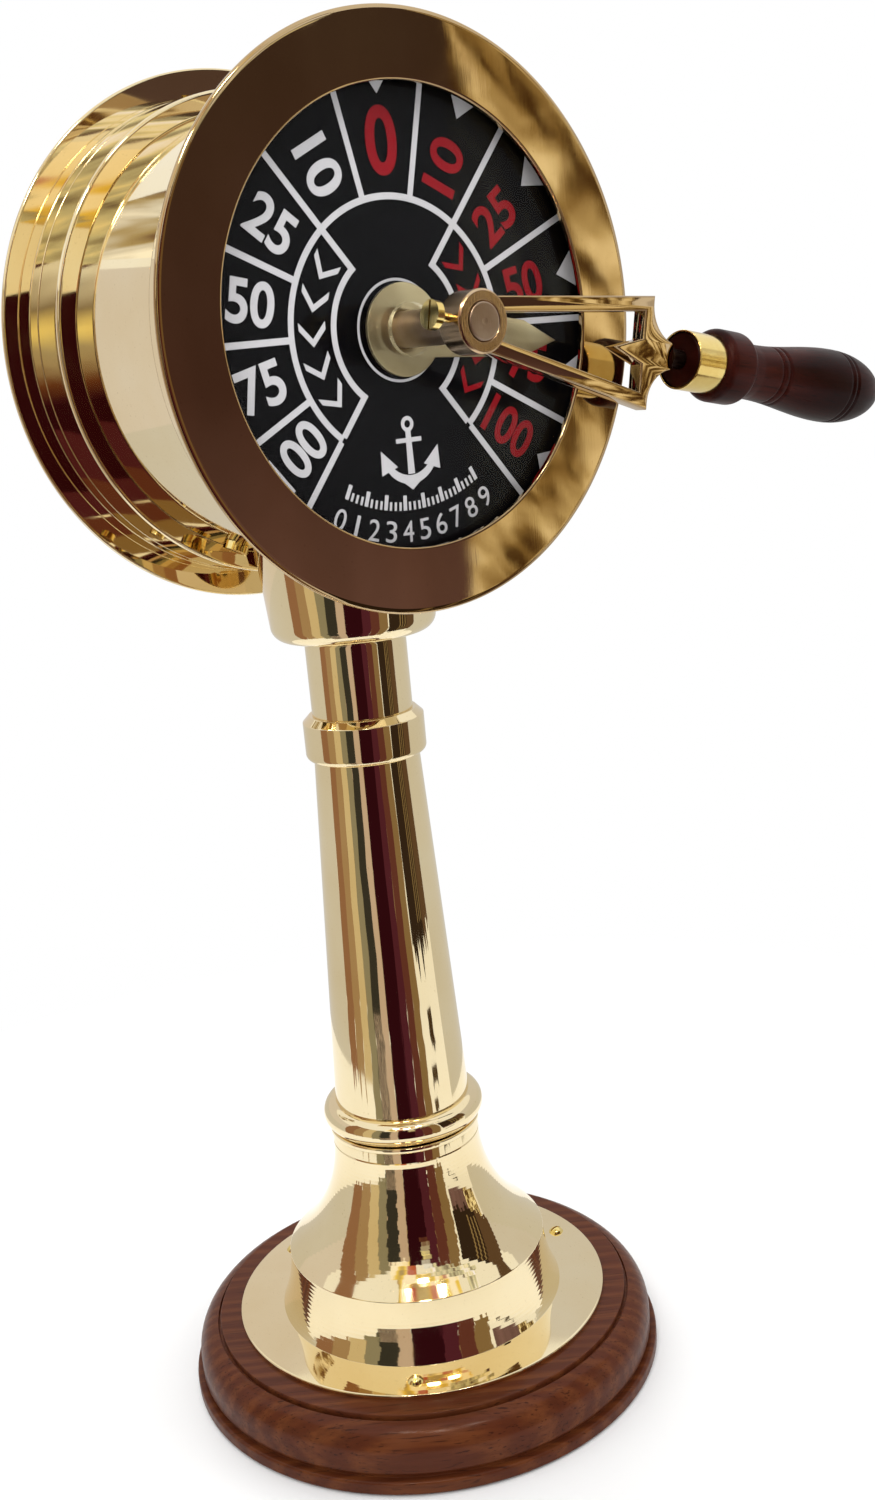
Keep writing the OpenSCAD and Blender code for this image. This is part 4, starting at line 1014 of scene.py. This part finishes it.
def addAnchor(s):
    ringAt = (0, s.ringAt)
    top, low = s.ringAt - s.shankDrop, s.foot + s.shankUp
    stock = [(x * s.stockHalf, s.stockAt + y * s.stockT) for x, y in ((-1, -1), (1, -1), (1, 1), (-1, 1))]
    loops = [[circle(ringAt, s.ringR, s.ringCount), circle(ringAt, s.ringHole, s.ringCount)],
             [[(-s.shankTop, top), (s.shankTop, top), (s.shank, low), (-s.shank, low)]], [stock]]
    armY = s.foot + s.armR
    first, last = s.armOuter
    outerSteps, innerSteps = s.armSteps
    arm = arc((0, armY), s.armR, first, last, outerSteps) + [(0, s.foot - s.crown)]
    arm += arc((0, armY), s.armR, 540 - last, 540 - first, outerSteps)  # the other arm mirrors it
    arm += arc((0, armY + s.armThick), s.armR - s.armThick, *s.armInner, innerSteps)
    loops.append([arm])
    tip = math.radians(540 - first)
    x, y = (s.armR - s.flukeIn) * math.cos(tip), armY + (s.armR - s.flukeIn) * math.sin(tip)
    loops += [[[((x + dx) * side, y + dy) for dx, dy in s.fluke]] for side in (-1, 1)]
    printLoops("dialAnchor", loops, whitePaint)


scaleShape = {
    "digits": "0123456789", "digitR": 79.5, "digitTall": 8.6, "digitWide": 5.4, "oneWide": 1.62, "spread": 56.0,
    "tickInner": 65.0, "tickOuter": 71.0, "ticks": 28, "tickW": 1.1, "tickCut": 2.6, "longEvery": 4, "longW": 1.76,
}


def addBottomScale(s):
    meshes, loops = [], []
    for index, digit in enumerate(s.digits):
        angle = 180 + s.spread * (0.5 - index / (len(s.digits) - 1))
        wide = s.oneWide if digit == "1" else s.digitWide
        meshes.append(numeralMesh(digit, s.digitTall, wide, onFace(angle, s.digitR, 180 - angle), 0.0))
    printMeshes("dialScaleDigits", meshes, whitePaint)
    for index in range(s.ticks + 1):
        angle = 180 + s.spread * (0.5 - index / s.ticks)
        inner, width = s.tickInner + s.tickCut, s.tickW
        if index % s.longEvery == 0:
            inner, width = s.tickInner, s.longW
        loops.append([radialBar(angle, inner, s.tickOuter, width)])
    printLoops("dialScaleTicks", loops, whitePaint)


build((addLines, dialShape), (addNumbers, dialShape), (addChevrons, chevronShape), (addAnchor, anchorShape),
      (addBottomScale, scaleShape))
print("dial printed")


# stage: floor, white surround, soft lamps and the cards that polished metal needs to show its shape

stageSetup = {
    "floor": 6.0, "floorDrop": 0.0004, "floorTone": (0.90, 0.90, 0.90), "grainTone": (0.87, 0.87, 0.87),
    "grain": 40, "grainDepth": 0.15, "rough": 0.8, "shine": 0.1, "ambient": 0.62, "white": (1, 1, 1),
    "fadeFrom": 0.20, "fadeTo": 0.55,
}


def addFloor(s):
    corners = [(x * s.floor, y * s.floor, 0) for x, y in ((-1, -1), (1, -1), (1, 1), (-1, 1))]
    mesh = bpy.data.meshes.new("studioFloor")
    mesh.from_pydata(corners, [], [(0, 1, 2, 3)])
    floor = bpy.data.objects.new("studioFloor", mesh)
    scene.collection.objects.link(floor)
    f = Finish("studioFloor")
    grain = f.span(f.noise(f.place, s.grain), 0, s.grainDepth)
    f.set(Base_Color=f.blend(grain, s.floorTone, s.grainTone), Roughness=s.rough, Specular_IOR_Level=s.shine)
    far = f.span(f.measure("LENGTH", f.place), 0, 1, s.fadeFrom, s.fadeTo)
    white = f.add("ShaderNodeEmission", Color=s.white, Strength=1.0).outputs[0]
    amount = f.reckon("MULTIPLY", f.seen(), far)  # plain white further out, where it is the background
    f.feed(f.surface, f.mixed(amount, f.shader.outputs["BSDF"], white))
    mesh.materials.append(f.material)
    floor.location.z = -s.floorDrop


def addWorld(s):
    world = bpy.data.worlds.new("studioWorld")
    scene.world = world
    world.use_nodes = True
    n = Nodes(world.node_tree)
    n.tree.nodes.clear()
    soft, white = (n.add("ShaderNodeBackground", Color=s.white, Strength=strength).outputs[0]
                   for strength in (s.ambient, 1.0))
    n.add("ShaderNodeOutputWorld", Surface=n.mixed(n.seen(), soft, white))


lampAim = Vector((0, 0, 0.3))
lampSetup = (
    {"name": "keyPanel", "place": (-1.5, -1.6, 2.2), "size": 1.6, "power": 34},
    {"name": "fillPanel", "place": (1.9, -1.2, 1.6), "size": 1.6, "power": 14},
    {"name": "topPanel", "place": (0.0, 0.3, 2.6), "size": 2.0, "power": 22},
    {"name": "backPanel", "place": (0.6, 2.2, 1.7), "size": 1.8, "power": 16},
)


def addLamp(s):
    data = bpy.data.lights.new(s.name, "AREA")
    data.shape = "SQUARE"
    data.size = s.size
    data.energy = s.power
    panel = bpy.data.objects.new(s.name, data)
    panel.location = s.place
    panel.rotation_euler = (lampAim - panel.location).to_track_quat("-Z", "Y").to_euler()
    panel.visible_camera = False
    panel.visible_glossy = False
    scene.collection.objects.link(panel)


# the room that polished metal mirrors: upright cards about the column, some with feet on the floor, that only
# mirrored rays see. Bearings are in degrees from the camera's side, + to the right, and lengths in m

cameraBearing = math.degrees(math.atan2(cameraSetup["place"][0], -cameraSetup["place"][1]))
lampSpots = {
    "away": 0.63, "tone": (45.0, 42.0, 37.0),
    "spots": ((2, 1.06, 0.045, 0.085), (-21, 1.28, 0.05, 0.09), (27, 1.22, 0.05, 0.09)),  # bearing, height, core, edge
}


def around(degrees, away, sway=0):
    bearing = math.radians(cameraBearing + sway + degrees)
    return away * math.sin(bearing), -away * math.cos(bearing)


def lightTone(f):
    # round lamps high in front, with warm patches beside them, which the lower flare mirrors
    cloud = f.noise(f.stretch((4, 4, 2.2), (0.4, 0.2, 0)), 1.0, detail=1, rough=0.4, distortion=0.6)
    tone = f.ramp(cloud, (0.36, (0.50, 0.40, 0.22)), (0.44, (1.0, 0.76, 0.16)), (0.50, (1.15, 1.1, 1.0)))
    spots = f.noise(f.stretch((6, 6, 4)), 1.0, detail=1, rough=0.4)
    tone = f.blend(f.span(spots, 0, 0.85, 0.60, 0.64), tone, (0.50, 0.06, 0.06))
    for degrees, high, core, edge in lampSpots["spots"]:
        reach = f.measure("DISTANCE", f.place, (*around(degrees, lampSpots["away"]), high))
        tone = f.blend(f.span(reach, 1, 0, core, edge), tone, lampSpots["tone"])
    return tone


def mottleTone(f):
    # cool and warm shades above the stripes, which the upper rings mirror twice
    cloud = f.noise(f.stretch((8, 8, 11), (0.4, 0.2, 0)), 1.0, rough=0.55, distortion=1.0)
    return f.ramp(cloud, (0.34, (0.10, 0.05, 0.06)), (0.42, (0.40, 0.38, 0.30)), (0.50, (0.62, 0.64, 0.55)),
                  (0.57, (1.0, 0.95, 0.70)), (0.64, (1.1, 1.15, 1.5)))


def patchTone(f):
    # what the case and bezel rings mirror in their corners, darker towards the floor
    level = f.reckon("MULTIPLY_ADD", f.noise(f.stretch((14, 14, 10)), 1.0), 0.10, f.height())
    return f.ramp(level, (0.42, (0.045, 0.008, 0.014)), (0.46, (0.15, 0.055, 0.03)), (0.50, (0.42, 0.36, 0.28)),
                  (0.55, (0.46, 0.42, 0.34)), (0.60, (1.0, 0.90, 0.45)), (0.66, (0.30, 0.26, 0.22)),
                  (0.74, (0.9, 0.95, 1.1)))


def ceilingTone(f):
    # uneven warm lights and shades high up behind, which the drum's upper rings mirror
    streaks = f.noise(f.stretch((4, 4, 8), (0.5, 0.3, 0)), 1.0, detail=2.5, distortion=1.0)
    return f.ramp(streaks, (0.36, (0.20, 0.11, 0.06)), (0.45, (0.45, 0.34, 0.16)), (0.52, (0.75, 0.70, 0.62)),
                  (0.66, (1.15, 1.1, 1.0)))


roomSetup = {
    "floorLift": 0.0005, "swayWaves": ((47, 1, 1), (113, 2, 0.6)), "swayWhole": 1.6,
    "footWaves": ((0.55, 0), (1.3, 2)), "topWaves": ((0.35, 0), (0.9, 1)),
}
plainCard = {
    "away": 0.62, "foot": 0, "low": 0.0, "high": 0.72, "jag": 0, "jagTop": 0, "wobble": 0, "steps": 24, "columns": 24,
}
nearCard = {"away": 0.30, "high": 0.32, "jag": 0.02}
thinLine = {"away": 0.298, "low": 0.15, "high": 0.31}
lineTone = (0.30, 0.21, 0.10)
floorBlot = {"high": 0.0, "jag": 0.012, "wobble": 1.5}
roomCards = (  # name, from, to, tone and what differs from a plain card
    ("backStripe", -88, 46, (0.30, 0.20, 0.11), {"away": 0.628, "high": 0.58}),
    ("rustStripe", -89, -74, (0.31, 0.163, 0.094), {"foot": 0.44, "jag": 0.06, "wobble": 0.9}),
    ("tanStripe", -74, -60, (0.40, 0.27, 0.15), {"foot": 0.44, "jag": 0.05, "wobble": 0.9}),
    ("creamStripe", -60, -47, (0.66, 0.54, 0.335), {"foot": 0.44, "wobble": 1.1}),
    ("greyStripe", -47, -35, (0.29, 0.266, 0.19), {"foot": 0.36, "jag": 0.05, "wobble": 1.2}),
    ("blackStripe", -36, -22, (0.040, 0.038, 0.032), {"foot": 0.27, "wobble": 1.8, "away": 0.61, "high": 0.60}),
    ("paleStripe", -35, -11.5, (0.585, 0.463, 0.40), {"foot": 0.27, "high": 0.60, "jagTop": 0.05, "wobble": 0.8}),
    ("maroonStripe", -11.5, 11.5, (0.030, 0.004, 0.008), {"foot": 0.27, "high": 0.70, "jagTop": 0.03, "wobble": 0.8}),
    ("wineStripe", 9, 23, (0.085, 0.018, 0.032), {"foot": 0.27, "away": 0.622, "jagTop": 0.05, "wobble": 1.0}),
    ("russetStripe", 23, 35, (0.13, 0.042, 0.033), {"foot": 0.27, "jagTop": 0.05, "wobble": 0.9}),
    ("oliveStripe", 35, 47, (0.253, 0.167, 0.08), {"foot": 0.29, "jag": 0.05, "jagTop": 0.05, "wobble": 1.2}),
    ("umberStripe", 47, 74, (0.036, 0.022, 0.0137), {**nearCard, "low": 0.13}),
    ("brownStripe", 74, 87, (0.12, 0.07, 0.038), {**nearCard, "low": 0.14}),
    ("lineOne", 63, 64.4, lineTone, thinLine),
    ("lineTwo", 67, 68.2, lineTone, thinLine),
    ("lineThree", 71, 72.2, lineTone, thinLine),
    ("blotHigh", 61, 69, (0.06, 0.035, 0.015), {**floorBlot, "foot": 0.49, "away": 0.58}),
    ("blotMiddle", 55, 65, (0.07, 0.042, 0.018), {**floorBlot, "foot": 0.42, "away": 0.455}),
    ("blotLow", 52, 59, (0.09, 0.055, 0.022), {**floorBlot, "foot": 0.37, "away": 0.392}),
    ("mottleCard", 12, 64, mottleTone, {"low": 0.70, "high": 0.93, "away": 0.625, "jagTop": 0.03}),
    ("lightCard", -30, 46, lightTone, {"low": 0.90, "high": 1.7, "away": 0.63}),
    ("glowCard", -36, -5, lightTone, {"low": 0.54, "high": 0.91, "away": 0.634}),
    ("ringPatch", 3, 13, patchTone, {"away": 0.60, "low": 0.37, "high": 0.74, "jagTop": 0.04, "wobble": 2.0}),
    ("sideRight", 89, 172, (0.66, 0.645, 0.62), {"foot": 0.36, "high": 0.25}),
    ("sideLeft", -172, -89, (0.67, 0.655, 0.64), {"foot": 0.44, "high": 0.25}),
    ("wallRight", 89, 180, (0.68, 0.66, 0.66), {"away": 1.3, "high": 0.95}),
    ("wallLeft", -180, -89, (0.74, 0.70, 0.70), {"away": 1.3, "high": 0.95}),
    ("ceilingCard", 222, 242, ceilingTone, {"away": 1.3, "low": 1.0, "high": 1.75, "steps": 1, "columns": 32}),
)


def cardObject(name, verts, faces, colour):
    # colour is one tone, or makes a colour socket from the card's finish
    mesh = bpy.data.meshes.new(name)
    mesh.from_pydata(verts, [], faces)
    f = Finish(name)
    glow = f.add("ShaderNodeEmission", Color=colour(f) if callable(colour) else colour)
    f.feed(f.surface, glow.outputs[0])
    mesh.materials.append(f.material)
    card = bpy.data.objects.new(name, mesh)
    scene.collection.objects.link(card)
    card.visible_camera = False
    card.visible_diffuse = False
    card.visible_shadow = False
    card.visible_transmission = False


def waves(degrees, parts):
    return sum(math.sin(rate * degrees + shift) for rate, shift in parts) / len(parts)


def addRoom(s):
    for name, start, end, tone, differs in roomCards:
        card = SimpleNamespace(**{**plainCard, **differs})
        shares = [step / card.steps for step in range(card.steps + 1)]
        rows = []
        if card.foot:
            rows += [(card.foot + (card.away - card.foot) * share, s.floorLift) for share in shares]
        if card.high > card.low:
            rows += [(card.away, card.low + (card.high - card.low) * share) for share in shares]
        verts = []
        for index, (reach, height) in enumerate(rows):
            sway = card.wobble / s.swayWhole * sum(
                part * math.sin(rate * (reach + height) + turns * start) for rate, turns, part in s.swayWaves)
            for column in range(card.columns + 1):
                degrees = start + (end - start) * column / card.columns
                out, up = reach, height
                if index == len(rows) - 1:
                    up += card.jagTop * waves(degrees, s.topWaves)
                elif index == 0 and card.foot:
                    out += card.jag * waves(degrees, s.footWaves)
                elif index == 0:
                    up += card.jag * waves(degrees, s.footWaves)
                verts.append((*around(degrees, out, sway), up))
        wide = card.columns + 1
        corners = [row * wide + column for row in range(len(rows) - 1) for column in range(card.columns)]
        faces = [(corner, corner + 1, corner + wide + 1, corner + wide) for corner in corners]
        cardObject(name, verts, faces, tone)


# flat cards in front and to the right, which the bezel's face mirrors

frontSetup = {
    "away": 1.0, "low": 0.0, "high": 1.05, "left": 0.28, "middleLow": 0.765, "middleHigh": 0.815, "right": 1.3,
}


def umberTone(f):
    tone = f.ramp(f.height(), (0.22, (0.23, 0.135, 0.14)), (0.45, (0.105, 0.055, 0.052)),
                  (0.80, (0.085, 0.058, 0.045)))
    band = f.noise(f.stretch((9, 1, 0.4)), 1.0, detail=2)
    return f.blend(f.span(band, 0, 0.5), tone, (0.055, 0.030, 0.026))


def goldTone(f):
    streaks = f.noise(f.stretch((22, 1, 6), (0, 0.55, 0)), 1.0, detail=3.5, distortion=0.8)
    return f.ramp(streaks, (0.41, (0.085, 0.040, 0.012)), (0.48, (0.40, 0.28, 0.115)), (0.55, (0.85, 0.72, 0.40)),
                  (0.64, (1.3, 1.2, 0.85)))


def addFrontCards(s):
    left, middle, right = (s.left, s.left), (s.middleLow, s.middleHigh), (s.right, s.right)
    for name, near, far, colour in (("umberCard", left, middle, umberTone), ("goldCard", middle, right, goldTone)):
        corners = ((near[0], s.low), (far[0], s.low), (far[1], s.high), (near[1], s.high))
        cardObject(name, [(x, -s.away, z) for x, z in corners], [(0, 1, 2, 3)], colour)


build((addFloor, stageSetup), (addWorld, stageSetup), *((addLamp, lamp) for lamp in lampSetup),
      (addRoom, roomSetup), (addFrontCards, frontSetup))
scene.view_settings.view_transform = "Standard"
print("stage set")

print("size written")
